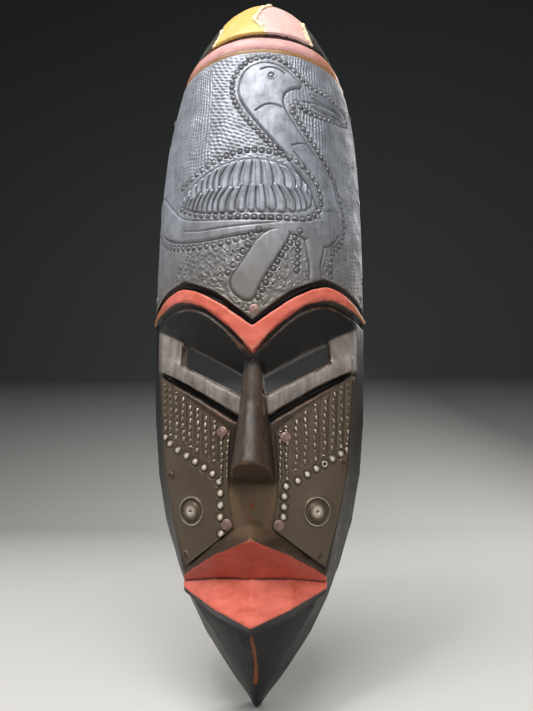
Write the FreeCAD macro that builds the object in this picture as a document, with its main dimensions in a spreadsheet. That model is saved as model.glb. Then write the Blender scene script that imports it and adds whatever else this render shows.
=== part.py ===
import FreeCAD, Part
import math
import os
import Sketcher

# Carved wooden wall mask: one hollow wood block with an embossed metal sheet on the
# forehead and on each cheek, nails and tacks, and putty seam lines on the crown.
# Local heights run up from the chin tip, depths run forward (-Y) from the back rim.
# Every body is then placed so that the origin is the bar of the hanging staple.

V = FreeCAD.Vector
doc = FreeCAD.newDocument("carved_mask")

# ---------------------------------------------------------------- driving dimensions
DIMS = {
    "hang_height": 383.0,        # chin tip to the staple bar
    "bar_depth": 4.5,            # back rim plane to the staple bar
    "sheet_gap": 0.12,           # under the metal sheets
    "sheet_top": 0.62,           # outer face of a sheet above the wood
    "brow_raise": 1.3,           # brow band above the forehead wood
    "putty_raise": 0.9,
    "putty_width": 2.2,
    "back_trim": 0.4,            # planed off the whole back rim so that it is one flat face
    "cut_front": 100.0,          # start plane of the cuts that run back through the mask
    "rim_clear": 3.0,            # forehead sheet stops this far short of the back rim
    "nail_head": 2.7, "nail_dome": 0.9, "nail_lip": 0.4, "nail_shank": 0.8, "nail_long": 8.0,
    "tack_head": 2.0, "tack_dome": 0.9, "tack_lip": 0.3, "tack_shank": 0.6, "tack_long": 6.0,
    "staple_half": 7.0, "staple_wire": 1.1, "staple_rise": 16.0, "staple_bend": 2.4,
}

# Cross-sections, bottom to top. Each row: height, half width at the back rim, half width
# at the front of the side wall, depth there, depth at the centre line, bulge of each arc.
# The hand-carved top leans a little to the right: a seventh value is how far.
FACE = [
    (0.0, 3.0, 2.2, 6.0, 11.0, 0.3),
    (12.0, 13.5, 7.0, 11.0, 20.0, 0.6),
    (33.0, 28.5, 19.0, 17.0, 33.0, 1.0),
    (50.0, 37.2, 29.5, 21.5, 39.5, 1.8),
    (66.0, 43.8, 36.5, 24.0, 41.5, 3.0),
    (90.0, 52.0, 42.0, 25.0, 42.0, 4.0),
    (115.0, 57.2, 47.5, 24.5, 41.5, 4.4),
    (145.0, 60.4, 51.0, 22.5, 40.0, 4.8),
    (172.0, 61.4, 53.6, 20.0, 38.5, 5.2),
    (204.0, 62.0, 55.0, 16.0, 38.0, 6.0),
]
FOREHEAD = [
    (150.0, 60.5, 56.3, 10.0, 50.0, 11.1, 0.0),
    (204.0, 62.3, 58.3, 10.0, 51.0, 11.3, 0.0),
    (250.0, 62.4, 58.6, 10.0, 50.5, 11.2, 0.4),
    (300.0, 60.8, 57.2, 10.0, 50.0, 11.0, 1.0),
    (340.0, 56.0, 52.7, 9.0, 48.5, 11.0, 1.9),
    (364.0, 50.2, 47.3, 8.0, 46.0, 10.6, 2.5),
]
CROWN = [
    (362.0, 49.2, 46.3, 8.0, 45.2, 10.4, 2.5),
    (376.0, 42.8, 40.4, 7.5, 41.8, 9.5, 3.0),
    (390.0, 35.5, 33.5, 6.5, 35.6, 8.0, 3.3),
    (400.5, 28.2, 26.6, 5.0, 28.0, 6.2, 3.2),
    (409.0, 20.4, 19.2, 3.6, 19.6, 4.2, 3.0),
    (415.0, 10.8, 10.0, 2.0, 10.0, 2.1, 2.8),
]
HOLLOW = [
    (20.0, 13.0, 8.0, 6.0, 13.0, 0.8),
    (60.0, 33.0, 27.0, 12.0, 27.0, 2.0),
    (110.0, 47.0, 39.0, 13.0, 30.0, 4.0),
    (165.0, 51.0, 45.0, 9.0, 27.0, 5.0),
    (210.0, 52.0, 47.0, 7.0, 33.0, 8.0),
    (260.0, 50.0, 46.0, 7.0, 37.0, 8.5),
    (335.0, 44.0, 41.0, 6.0, 35.0, 8.0),
    (387.0, 24.0, 22.0, 4.0, 21.0, 4.6),
]
SECTION_FIELDS = ("height", "rim", "edge", "side", "front", "bulge", "lean")

# Right-hand halves of outlines seen from the front: (across, height).
BROW_BAND = [(0.0, 189.5), (20.0, 204.0), (38.0, 213.5), (50.0, 211.0), (63.6, 203.6),
             (63.6, 201.4), (50.0, 205.5), (36.0, 206.0), (18.0, 195.0), (0.0, 174.5)]
FOREHEAD_SHEET = [(0.0, 350.0), (66.0, 350.0), (66.0, 206.4), (50.0, 214.5), (38.5, 217.0),
                  (20.0, 208.0), (0.0, 191.8)]
CHEEK_SHEET = [(52.4, 168.0), (30.0, 151.0), (15.0, 139.5), (11.6, 136.5), (12.6, 121.0),
               (12.2, 106.0), (10.0, 92.5), (9.2, 90.2), (35.2, 70.2), (40.8, 89.0),
               (46.2, 111.0), (49.6, 137.0), (51.8, 161.0)]
EYE_SLIT = [(4.8, 165.3), (39.5, 185.3), (39.5, 172.9), (5.9, 155.2)]

# Slanted surface under the brow, as heights at two depths: (across, near face, behind).
UNDER_BROW = [(0.0, 178.6, 148.0), (10.0, 193.6, 142.7), (20.0, 210.5, 143.4),
              (30.0, 229.6, 148.6), (42.0, 246.2, 169.7), (54.0, 264.0, 196.5),
              (66.0, 287.0, 219.5)]
UNDER_BROW_DEPTHS = (60.0, 15.0)

# Lower-lid bars: (across, lower height, upper height, depth of the front face).
LID_BAR = [(0.0, 141.0, 152.0, 41.2), (8.0, 145.0, 155.6, 41.4), (24.0, 154.8, 164.2, 38.6),
           (39.5, 163.8, 172.9, 32.2), (53.0, 170.6, 178.6, 22.0)]

# Lips: at each distance across, seven (depth, height) points from the top of the rim
# above the mouth, over the upper lip, the mouth line and the lower lip, to the chin.
LIPS = [
    (0.0, [(30.0, 94.0), (42.2, 94.0), (57.0, 86.0), (46.0, 67.4), (54.0, 47.6),
           (39.0, 40.5), (30.0, 40.5)]),
    (18.0, [(28.0, 82.8), (40.8, 82.8), (49.2, 78.2), (38.6, 66.4), (45.6, 54.0),
            (35.5, 47.5), (28.0, 47.5)]),
    (36.0, [(20.0, 68.2), (25.4, 68.2), (26.8, 65.6), (25.4, 62.7), (26.6, 60.0),
            (24.6, 57.4), (20.0, 57.4)]),
]

# Nose: height, half width and depth at the face, half width and depth at the shoulder of
# the rounded ridge, depth of the ridge. The underside is one slanted cut below a line of
# (depth, height) points.
NOSE = [(172.0, 5.6, 34.0, 4.6, 44.4, 46.8), (150.0, 7.8, 34.0, 6.0, 49.0, 53.0),
        (120.0, 10.8, 34.0, 8.8, 58.6, 67.0), (110.4, 11.4, 34.0, 9.6, 61.6, 70.4)]
NOSE_FIELDS = ("height", "base", "root", "ridge", "shoulder", "front")
NOSE_CUT = [(85.0, 127.0), (42.2, 110.6)]

# Putty seams on the crown, seen from the front: (across, height) along each line.
SEAMS = {
    "centre": [(8.0, 403.0), (2.6, 391.0), (-0.6, 379.0), (3.4, 372.6), (6.4, 366.5)],
    "left": [(-20.6, 378.5), (-22.6, 372.0), (-25.2, 366.0)],
    "right": [(27.4, 385.5), (29.4, 378.6), (30.8, 372.0), (32.8, 366.0)],
}

# Fixings: node, kind, across, height, and the way that they are driven.
FIXINGS = [
    ("forehead_centre_nail", "nail", 1.0, 197.0, "back"),
    ("left_cheek_upper_nail", "nail", -15.9, 136.2, "back"),
    ("left_cheek_lower_nail", "nail", -12.8, 91.2, "back"),
    ("right_cheek_upper_nail", "nail", 16.2, 133.4, "back"),
    ("right_cheek_lower_nail", "nail", 12.6, 91.0, "back"),
    ("left_cheek_side_tack", "tack", -44.0, 114.9, "back"),
    ("left_cheek_low_tack", "tack", -34.6, 75.8, "back"),
    ("right_cheek_side_tack", "tack", 45.2, 121.5, "back"),
    ("right_cheek_low_tack", "tack", 32.2, 76.0, "back"),
    ("forehead_top_tack", "tack", -2.8, 346.8, "back"),
    ("forehead_tack_left_low", "tack", -1.0, 216.0, "side"),
    ("forehead_tack_left_mid", "tack", -1.0, 276.0, "side"),
    ("forehead_tack_left_high", "tack", -1.0, 334.0, "side"),
    ("forehead_tack_right_low", "tack", 1.0, 216.0, "side"),
    ("forehead_tack_right_mid", "tack", 1.0, 276.0, "side"),
    ("forehead_tack_right_high", "tack", 1.0, 334.0, "side"),
]
SIDE_TACK_DEPTH = 8.0


# ---------------------------------------------------------------- spreadsheet
def letter(i):
    return "abcdefghijklmnopqrstuvwxyz"[i]


def register_sections(prefix, rows):
    for i, row in enumerate(rows):
        for field, value in zip(SECTION_FIELDS, row):
            DIMS["%s_%s_%s" % (prefix, letter(i), field)] = value


def register_outline(prefix, points):
    for i, point in enumerate(points):
        DIMS["%s_%s_across" % (prefix, letter(i))] = point[0]
        DIMS["%s_%s_up" % (prefix, letter(i))] = point[1]


def register_all():
    for prefix, rows in (("face", FACE), ("fore", FOREHEAD), ("crown", CROWN),
                         ("hollow", HOLLOW)):
        register_sections(prefix, rows)
    for prefix, points in (("band", BROW_BAND), ("plate", FOREHEAD_SHEET),
                           ("cheek", CHEEK_SHEET), ("slit", EYE_SLIT)):
        register_outline(prefix, points)
    for i, (across, near, behind) in enumerate(UNDER_BROW):
        DIMS["brow_%s_across" % letter(i)] = across
        DIMS["brow_%s_near" % letter(i)] = near
        DIMS["brow_%s_behind" % letter(i)] = behind
    DIMS["brow_near_depth"], DIMS["brow_behind_depth"] = UNDER_BROW_DEPTHS
    for i, (across, low, high, depth) in enumerate(LID_BAR):
        DIMS["bar_%s_across" % letter(i)] = across
        DIMS["bar_%s_low" % letter(i)] = low
        DIMS["bar_%s_high" % letter(i)] = high
        DIMS["bar_%s_depth" % letter(i)] = depth
    for i, (across, points) in enumerate(LIPS):
        DIMS["lip_%s_across" % letter(i)] = across
        for j, (depth, up) in enumerate(points):
            DIMS["lip_%s_%s_depth" % (letter(i), letter(j))] = depth
            DIMS["lip_%s_%s_up" % (letter(i), letter(j))] = up
    for i, row in enumerate(NOSE):
        for field, value in zip(NOSE_FIELDS, row):
            DIMS["nose_%s_%s" % (letter(i), field)] = value
    for i, (depth, up) in enumerate(NOSE_CUT):
        DIMS["nose_cut_%s_depth" % letter(i)] = depth
        DIMS["nose_cut_%s_up" % letter(i)] = up
    for name, points in SEAMS.items():
        register_outline("seam_" + name, points)
    for node, kind, across, up, way in FIXINGS:
        DIMS[node + "_across"] = across
        DIMS[node + "_up"] = up


def make_sheet():
    sheet = doc.addObject("Spreadsheet::Sheet", "Dims")
    for row, (alias, value) in enumerate(DIMS.items(), 1):
        sheet.set("A%d" % row, alias)
        sheet.set("B%d" % row, str(value))
        sheet.setAlias("B%d" % row, alias)
    doc.recompute()
    return sheet


def evaluate(expression):
    """Number that an expression over the sheet's aliases gives now."""
    return float(SHEET.evalExpression(expression.replace("Dims.", "")))


# ---------------------------------------------------------------- sketch helpers
def new_body(label):
    body = doc.addObject("PartDesign::Body", label)
    body.Label = label
    return body


def origin_plane(body, role):
    return [f for f in body.Origin.OriginFeatures if f.Role == role][0]


def new_sketch(body, name, role, offset):
    """Sketch on an origin plane of its own body, moved along the plane's normal."""
    sketch = body.newObject("Sketcher::SketchObject", name)
    sketch.AttachmentSupport = [(origin_plane(body, role), "")]
    sketch.MapMode = "FlatFace"
    sketch.AttachmentOffset = FreeCAD.Placement(V(0, 0, evaluate(offset)), FreeCAD.Rotation())
    sketch.setExpression("AttachmentOffset.Base.z", offset)
    return sketch


def tie_point(sketch, geometry, x, y):
    """Fix the start of one edge at (x, y), both expressions over the sheet."""
    for axis, expression, line in (("X", x, -2), ("Y", y, -1)):
        value = evaluate(expression)
        if abs(value) < 1e-9:
            sketch.addConstraint(Sketcher.Constraint("PointOnObject", geometry, 1, line))
            continue
        first, second = ((-1, 1), (geometry, 1)) if value > 0 else ((geometry, 1), (-1, 1))
        number = sketch.addConstraint(Sketcher.Constraint(
            "Distance" + axis, first[0], first[1], second[0], second[1], abs(value)))
        name = "%s%d" % (axis.lower(), geometry)
        sketch.renameConstraint(number, name)
        sign = "" if value > 0 else "-"
        sketch.setExpression("Constraints." + name, "%s(%s)" % (sign, expression))


def close_loop(sketch, start, count):
    for i in range(count):
        sketch.addConstraint(Sketcher.Constraint(
            "Coincident", start + i, 2, start + (i + 1) % count, 1))


def add_polygon(sketch, points):
    """Closed polygon whose corners are pairs of expressions."""
    numbers = [V(evaluate(x), evaluate(y), 0) for x, y in points]
    start = sketch.GeometryCount
    count = len(points)
    for i in range(count):
        sketch.addGeometry(Part.LineSegment(numbers[i], numbers[(i + 1) % count]), False)
    close_loop(sketch, start, count)
    for i, (x, y) in enumerate(points):
        tie_point(sketch, start + i, x, y)


def arc_between(first, second, bulge):
    """Arc from first to second that rises by bulge over its chord."""
    chord = second.sub(first)
    radius = (chord.Length ** 2 / 4 + bulge ** 2) / (2 * bulge)
    outward = V(chord.y, -chord.x, 0).normalize()
    centre = (first + second).multiply(0.5) - outward * (radius - bulge)
    angles = [math.atan2(p.y - centre.y, p.x - centre.x) for p in (first, second)]
    circle = Part.Circle(centre, V(0, 0, 1), radius)
    return Part.ArcOfCircle(circle, angles[0], angles[1])


def section_terms(prefix, i, grow):
    """Expressions of one cross-section, grown outwards by the named amount."""
    names = {f: "Dims.%s_%s_%s" % (prefix, letter(i), f) for f in SECTION_FIELDS}
    if "%s_%s_lean" % (prefix, letter(i)) not in DIMS:
        names["lean"] = "0"
    if grow:
        sideways, forwards = GROWTH[prefix]
        names["rim"] += " + Dims.%s" % grow
        names["edge"] += " + %s * Dims.%s" % (sideways, grow)
        names["side"] += " + %s * Dims.%s" % (forwards, grow)
        names["front"] += " + Dims.%s" % grow
    return names


def section_sketch(body, name, prefix, i, grow=None):
    """D-shaped cross-section: back line, two side walls and two arcs over the front."""
    terms = section_terms(prefix, i, grow)
    sketch = new_sketch(body, name, "XY_Plane", terms["height"])
    lean = terms["lean"]
    corners = [("%s - (%s)" % (lean, terms["rim"]), "0"),
               ("%s - (%s)" % (lean, terms["edge"]), "-(%s)" % terms["side"]),
               (lean, "-(%s)" % terms["front"]),
               ("%s + %s" % (lean, terms["edge"]), "-(%s)" % terms["side"]),
               ("%s + %s" % (lean, terms["rim"]), "0")]
    spots = [V(evaluate(x), evaluate(y), 0) for x, y in corners]
    bulge = evaluate(terms["bulge"])
    for j in range(5):
        here, there = spots[j], spots[(j + 1) % 5]
        edge = arc_between(here, there, bulge) if j in (1, 2) else Part.LineSegment(here, there)
        sketch.addGeometry(edge, False)
    close_loop(sketch, 0, 5)
    for j, (x, y) in enumerate(corners):
        tie_point(sketch, j, x, y)
    chord = "((%s) ^ 2 + ((%s) - (%s)) ^ 2)" % (terms["edge"], terms["front"], terms["side"])
    radius = "(%s / 4 + %s ^ 2) / (2 * %s)" % (chord, terms["bulge"], terms["bulge"])
    for j in (1, 2):
        number = sketch.addConstraint(Sketcher.Constraint("Radius", j, evaluate(radius)))
        sketch.renameConstraint(number, "radius%d" % j)
        sketch.setExpression("Constraints.radius%d" % j, radius)
    return sketch


# ---------------------------------------------------------------- feature helpers
def loft(body, name, kind, sketches, ruled=False):
    feature = body.newObject("PartDesign::" + kind, name)
    feature.Profile = sketches[0]
    feature.Sections = sketches[1:]
    feature.Ruled = ruled
    feature.Closed = False
    doc.recompute()
    return feature


def section_loft(body, name, kind, prefix, count, grow=None, ruled=False):
    sketches = [section_sketch(body, "%s_%s" % (name, letter(i)), prefix, i, grow)
                for i in range(count)]
    return loft(body, name, kind, sketches, ruled)


def cut_through(body, name, sketch):
    """Pocket that runs back through everything behind its sketch; it must remove wood."""
    before = body.Shape.Volume
    pocket = body.newObject("PartDesign::Pocket", name)
    pocket.Profile = sketch
    pocket.Type = "ThroughAll"
    doc.recompute()
    if not body.Shape.Volume < before - 0.01:
        raise RuntimeError(name + " cuts nothing")
    return pocket


def mirrored_outline(prefix, count):
    """Closed outline across both halves from the right-hand half."""
    right = [("Dims.%s_%s_across" % (prefix, letter(i)), "Dims.%s_%s_up" % (prefix, letter(i)))
             for i in range(count)]
    middle = [i for i in range(count) if abs(evaluate(right[i][0])) > 1e-9]
    left = [("-" + right[i][0], right[i][1]) for i in reversed(middle)]
    return right + left


def keep_inside(body, name, outline):
    """Cut away everything outside an outline seen from the front."""
    sketch = new_sketch(body, name + "_outline", "XZ_Plane", "Dims.cut_front")
    add_polygon(sketch, [("-150", "-60"), ("150", "-60"), ("150", "480"), ("-150", "480")])
    add_polygon(sketch, outline)
    return cut_through(body, name, sketch)


def place(body):
    """Move a body from the chin's coordinates to those of the hanging staple."""
    body.Placement = FreeCAD.Placement(V(0, DIMS["bar_depth"], -DIMS["hang_height"]),
                                       FreeCAD.Rotation())
    body.setExpression("Placement.Base.y", "Dims.bar_depth")
    body.setExpression("Placement.Base.z", "-Dims.hang_height")


# ---------------------------------------------------------------- the carved block
def under_brow_cut(body, side):
    """Slanted surface from the brow ridge back to the eye, on one side."""
    sign = "-" if side == "left" else ""
    profiles = []
    for key in ("near", "behind"):
        sketch = new_sketch(body, "under_brow_%s_%s" % (side, key), "XZ_Plane",
                            "Dims.brow_%s_depth" % key)
        points = [("%sDims.brow_%s_across" % (sign, letter(i)),
                   "Dims.brow_%s_%s" % (letter(i), key)) for i in range(len(UNDER_BROW))]
        last = "%sDims.brow_%s_across" % (sign, letter(len(UNDER_BROW) - 1))
        points += [(last, "120"), ("0", "120")]
        add_polygon(sketch, points)
        profiles.append(sketch)
    loft(body, "under_brow_" + side, "SubtractiveLoft", profiles, ruled=True)


def across_stations(rows):
    """Distances across the mask, left to right, of a half list that starts at 0."""
    count = len(rows)
    return [(i, "-") for i in range(count - 1, 0, -1)] + [(i, "") for i in range(count)]


def lid_bars(body):
    sketches = []
    for i, sign in across_stations(LID_BAR):
        key = "Dims.bar_%s_" % letter(i)
        name = "lid_bar_%s%s" % ("left_" if sign else "", letter(i))
        sketch = new_sketch(body, name, "YZ_Plane", "%s%sacross" % (sign, key))
        front, behind = "-%sdepth" % key, "-(%sdepth - 8)" % key
        add_polygon(sketch, [(front, key + "low"), (front, key + "high"),
                             (behind, key + "high"), (behind, key + "low")])
        sketches.append(sketch)
    loft(body, "lid_bars", "AdditiveLoft", sketches, ruled=True)


def lips(body):
    sketches = []
    for i, sign in across_stations(LIPS):
        name = "lip_%s%s" % ("left_" if sign else "", letter(i))
        sketch = new_sketch(body, name, "YZ_Plane", "%sDims.lip_%s_across" % (sign, letter(i)))
        add_polygon(sketch, [("-Dims.lip_%s_%s_depth" % (letter(i), letter(j)),
                              "Dims.lip_%s_%s_up" % (letter(i), letter(j)))
                             for j in range(len(LIPS[i][1]))])
        sketches.append(sketch)
    loft(body, "lips", "AdditiveLoft", sketches, ruled=True)


def nose(body):
    sketches = []
    for i in range(len(NOSE)):
        key = "Dims.nose_%s_" % letter(i)
        sketch = new_sketch(body, "nose_" + letter(i), "XY_Plane", key + "height")
        corners = [("-%sbase" % key, "-%sroot" % key), ("-%sridge" % key, "-%sshoulder" % key),
                   (key + "ridge", "-%sshoulder" % key), (key + "base", "-%sroot" % key)]
        spots = [V(evaluate(x), evaluate(y), 0) for x, y in corners]
        rise = "(%sfront - %sshoulder)" % (key, key)
        for j in range(4):
            here, there = spots[j], spots[(j + 1) % 4]
            edge = Part.LineSegment(here, there)
            if j == 1:
                edge = arc_between(here, there, evaluate(rise))
            sketch.addGeometry(edge, False)
        close_loop(sketch, 0, 4)
        for j, (x, y) in enumerate(corners):
            tie_point(sketch, j, x, y)
        radius = "(%sridge ^ 2 + %s ^ 2) / (2 * %s)" % (key, rise, rise)
        number = sketch.addConstraint(Sketcher.Constraint("Radius", 1, evaluate(radius)))
        sketch.renameConstraint(number, "ridge_radius")
        sketch.setExpression("Constraints.ridge_radius", radius)
        sketches.append(sketch)
    loft(body, "nose", "AdditiveLoft", sketches, ruled=True)


def nose_underside(body):
    """Slanted cut under the nose tip, in front of the face and above the lips."""
    sketch = new_sketch(body, "nose_cut_outline", "YZ_Plane", "60")
    depths = ["-Dims.nose_cut_%s_depth" % key for key in ("a", "b")]
    add_polygon(sketch, [(depths[0], "Dims.nose_cut_a_up"), (depths[1], "Dims.nose_cut_b_up"),
                         (depths[1], "104"), (depths[0], "104")])
    cut_through(body, "nose_cut", sketch)


def eye_slit(body, side):
    sign = "-" if side == "left" else ""
    sketch = new_sketch(body, "eye_slit_%s_outline" % side, "XZ_Plane", "Dims.cut_front")
    add_polygon(sketch, [("%sDims.slit_%s_across" % (sign, letter(i)),
                          "Dims.slit_%s_up" % letter(i)) for i in range(len(EYE_SLIT))])
    cut_through(body, "eye_slit_" + side, sketch)


def plane_back(body):
    sketch = new_sketch(body, "back_outline", "YZ_Plane", "150")
    add_polygon(sketch, [("-Dims.back_trim", "-20"), ("30", "-20"), ("30", "430"),
                         ("-Dims.back_trim", "430")])
    cut_through(body, "back_plane", sketch)


def mask_body():
    body = new_body("mask_body")
    section_loft(body, "brow_block", "AdditiveLoft", "fore", 3, "brow_raise")
    keep_inside(body, "brow_band", mirrored_outline("band", len(BROW_BAND)))
    section_loft(body, "forehead", "AdditiveLoft", "fore", len(FOREHEAD))
    section_loft(body, "crown", "AdditiveLoft", "crown", len(CROWN))
    for side in ("left", "right"):
        under_brow_cut(body, side)
    section_loft(body, "face", "AdditiveLoft", "face", len(FACE), ruled=True)
    lid_bars(body)
    nose(body)
    nose_underside(body)
    lips(body)
    for side in ("left", "right"):
        eye_slit(body, side)
    before = body.Shape.Volume
    section_loft(body, "hollow", "SubtractiveLoft", "hollow", len(HOLLOW))
    if not body.Shape.Volume < before - 1000:
        raise RuntimeError("the hollow cuts nothing")
    plane_back(body)
    return body


# ---------------------------------------------------------------- metal sheets
def conforming_skin(label, prefix, count, inner, outer, outline):
    """Thin skin between two grown copies of a surface, kept inside an outline."""
    body = new_body(label)
    ruled = prefix == "face"
    section_loft(body, label + "_outer", "AdditiveLoft", prefix, count, outer, ruled)
    section_loft(body, label + "_inner", "SubtractiveLoft", prefix, count, inner, ruled)
    keep_inside(body, label + "_trim", outline)
    return body


def forehead_sheet():
    outline = mirrored_outline("plate", len(FOREHEAD_SHEET))
    body = conforming_skin("forehead_sheet", "fore", len(FOREHEAD), "sheet_gap", "sheet_top",
                           outline)
    sketch = new_sketch(body, "rim_trim_outline", "YZ_Plane", "150")
    add_polygon(sketch, [("-Dims.rim_clear", "100"), ("20", "100"), ("20", "420"),
                         ("-Dims.rim_clear", "420")])
    cut_through(body, "rim_trim", sketch)
    return body


def cheek_sheet(side):
    sign = "-" if side == "left" else ""
    outline = [("%sDims.cheek_%s_across" % (sign, letter(i)), "Dims.cheek_%s_up" % letter(i))
               for i in range(len(CHEEK_SHEET))]
    return conforming_skin(side + "_cheek_sheet", "face", len(FACE), "sheet_gap", "sheet_top",
                           outline)


# ---------------------------------------------------------------- putty, fixings, hanger
def seam_outline(name, count):
    """Narrow strip along a seam's line, as expressions."""
    spots = [("Dims.seam_%s_%s_across" % (name, letter(i)),
              "Dims.seam_%s_%s_up" % (name, letter(i))) for i in range(count)]
    right = [("%s + Dims.putty_width / 2" % x, y) for x, y in spots]
    left = [("%s - Dims.putty_width / 2" % x, y) for x, y in reversed(spots)]
    return right + left


def putty_seam(name):
    return conforming_skin("crown_seam_" + name, "crown", len(CROWN), "sheet_gap",
                           "putty_raise", seam_outline(name, len(SEAMS[name])))


def fixing(label, kind):
    """Domed head over a pointed shank, turned about its own axis, seat at the origin."""
    body = new_body(label)
    sketch = new_sketch(body, label + "_profile", "XZ_Plane", "0")
    head, dome, lip, shank, length = ["Dims.%s_%s" % (kind, part)
                                      for part in ("head", "dome", "lip", "shank", "long")]
    add_polygon(sketch, [("0", "-" + length), (shank, "-(%s - 2)" % length), (shank, "0"),
                         (head, "0"), (head, lip), ("0.72 * " + head, "0.8 * " + dome),
                         ("0.3 * " + head, dome), ("0", dome)])
    turn = body.newObject("PartDesign::Revolution", label + "_turn")
    turn.Profile = sketch
    turn.ReferenceAxis = (sketch, ["V_Axis"])
    turn.Angle = 360
    doc.recompute()
    return body


def hit(shape, start, way):
    """First point of a shape along a line."""
    line = Part.makeLine(start, start + way * 200)
    inside = shape.common(line)
    return min((v.Point for v in inside.Vertexes), key=lambda p: p.sub(start).Length)


def seat(body, surface, label, way):
    """Set a fixing on a sheet's outer face, square to it."""
    x, z = DIMS[label + "_across"], DIMS[label + "_up"]
    if way == "side":
        side = 1 if x > 0 else -1
        start, step, along = V(120 * side, -SIDE_TACK_DEPTH, z), V(0, 1.2, 0), V(-side, 0, 0)
    else:
        start, step, along = V(x, -120, z), V(1.2, 0, 0), V(0, 1, 0)
    spots = [hit(surface, start + o, along) for o in (V(), step, step * -1, V(0, 0, 1.2), V(0, 0, -1.2))]
    normal = (spots[1] - spots[2]).cross(spots[3] - spots[4]).normalize()
    if normal.dot(along) > 0:
        normal = normal * -1
    point = spots[0] + normal * 0.05 + V(0, DIMS["bar_depth"], -DIMS["hang_height"])
    body.Placement = FreeCAD.Placement(point, FreeCAD.Rotation(V(0, 0, 1), normal))


def hanging_staple():
    """Bent wire whose bar is at the origin and whose legs run up into the crown."""
    body = new_body("hanging_staple")
    path = new_sketch(body, "staple_path", "XZ_Plane", "0")
    half, rise, bend = "Dims.staple_half", "Dims.staple_rise", "Dims.staple_bend"
    spots = [("-" + half, rise), ("-" + half, bend), ("-(%s - %s)" % (half, bend), "0"),
             ("%s - %s" % (half, bend), "0"), (half, bend), (half, rise)]
    points = [V(evaluate(x), evaluate(y), 0) for x, y in spots]
    radius = evaluate(bend)
    left_centre, right_centre = V(points[2].x, radius, 0), V(points[3].x, radius, 0)
    path.addGeometry(Part.LineSegment(points[0], points[1]), False)
    path.addGeometry(Part.ArcOfCircle(Part.Circle(left_centre, V(0, 0, 1), radius),
                                      math.pi, 1.5 * math.pi), False)
    path.addGeometry(Part.LineSegment(points[2], points[3]), False)
    path.addGeometry(Part.ArcOfCircle(Part.Circle(right_centre, V(0, 0, 1), radius),
                                      1.5 * math.pi, 2 * math.pi), False)
    path.addGeometry(Part.LineSegment(points[4], points[5]), False)
    for i in range(4):
        path.addConstraint(Sketcher.Constraint("Coincident", i, 2, i + 1, 1))
    for i in (0, 2, 4):
        tie_point(path, i, *spots[i])
    tie_point(path, 1, *spots[1])
    tie_point(path, 3, *spots[3])
    for i in (1, 3):
        number = path.addConstraint(Sketcher.Constraint("Radius", i, radius))
        path.renameConstraint(number, "bend%d" % i)
        path.setExpression("Constraints.bend%d" % i, bend)
    wire = new_sketch(body, "staple_wire_section", "XY_Plane", rise)
    wire.addGeometry(Part.Circle(V(-evaluate(half), 0, 0), V(0, 0, 1), DIMS["staple_wire"]), False)
    number = wire.addConstraint(Sketcher.Constraint("Radius", 0, DIMS["staple_wire"]))
    wire.renameConstraint(number, "wire")
    wire.setExpression("Constraints.wire", "Dims.staple_wire")
    wire.addConstraint(Sketcher.Constraint("PointOnObject", 0, 3, -1))
    number = wire.addConstraint(Sketcher.Constraint("DistanceX", 0, 3, -1, 1, DIMS["staple_half"]))
    wire.renameConstraint(number, "half")
    wire.setExpression("Constraints.half", half)
    pipe = body.newObject("PartDesign::AdditivePipe", "staple_pipe")
    pipe.Profile = wire
    pipe.Spine = (path, ["Edge%d" % (i + 1) for i in range(5)])
    doc.recompute()
    return body


# ---------------------------------------------------------------- build
def build():
    bodies = {"mask_body": mask_body()}
    bodies["forehead_sheet"] = forehead_sheet()
    for side in ("left", "right"):
        bodies[side + "_cheek_sheet"] = cheek_sheet(side)
    for name in SEAMS:
        bodies["crown_seam_" + name] = putty_seam(name)
    for label, kind, across, up, way in FIXINGS:
        bodies[label] = fixing(label, kind)
        plate = "forehead_sheet"
        if "cheek" in label:
            plate = label.split("_")[0] + "_cheek_sheet"
        seat(bodies[label], bodies[plate].Shape, label, way)
    bodies["hanging_staple"] = hanging_staple()
    fixings = [row[0] for row in FIXINGS]
    for name, body in bodies.items():
        if name not in fixings and name != "hanging_staple":
            place(body)
    return bodies


def check_document():
    doc.recompute()
    bad = [o.Name for o in doc.Objects if "Invalid" in o.State or "Error" in o.State]
    if bad:
        raise RuntimeError("failed objects: " + ", ".join(bad))


def write(bodies):
    os.makedirs("parts", exist_ok=True)
    for name, body in bodies.items():
        shape = body.Shape
        if shape.isNull() or not shape.isValid():
            raise RuntimeError(name + " has no valid shape")
        if len(shape.Solids) != 1:
            raise RuntimeError("%s has %d solids" % (name, len(shape.Solids)))
        shape.exportStep("parts/%s.step" % name)
        box = shape.BoundBox
        print("%-26s %8.2f cm3  x %7.1f..%6.1f  y %6.1f..%5.1f  z %7.1f..%6.1f" % (
            name, shape.Volume / 1000, box.XMin, box.XMax, box.YMin, box.YMax, box.ZMin, box.ZMax))


GROWTH = {"face": (0.3, 1.0), "fore": (1.0, 0.3), "crown": (1.0, 0.3)}
register_all()
SHEET = make_sheet()
BODIES = build()
check_document()
write(BODIES)
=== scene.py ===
import math
import bpy
import bmesh
import numpy as np
from mathutils import Matrix, Vector
from mathutils.bvhtree import BVHTree


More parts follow.
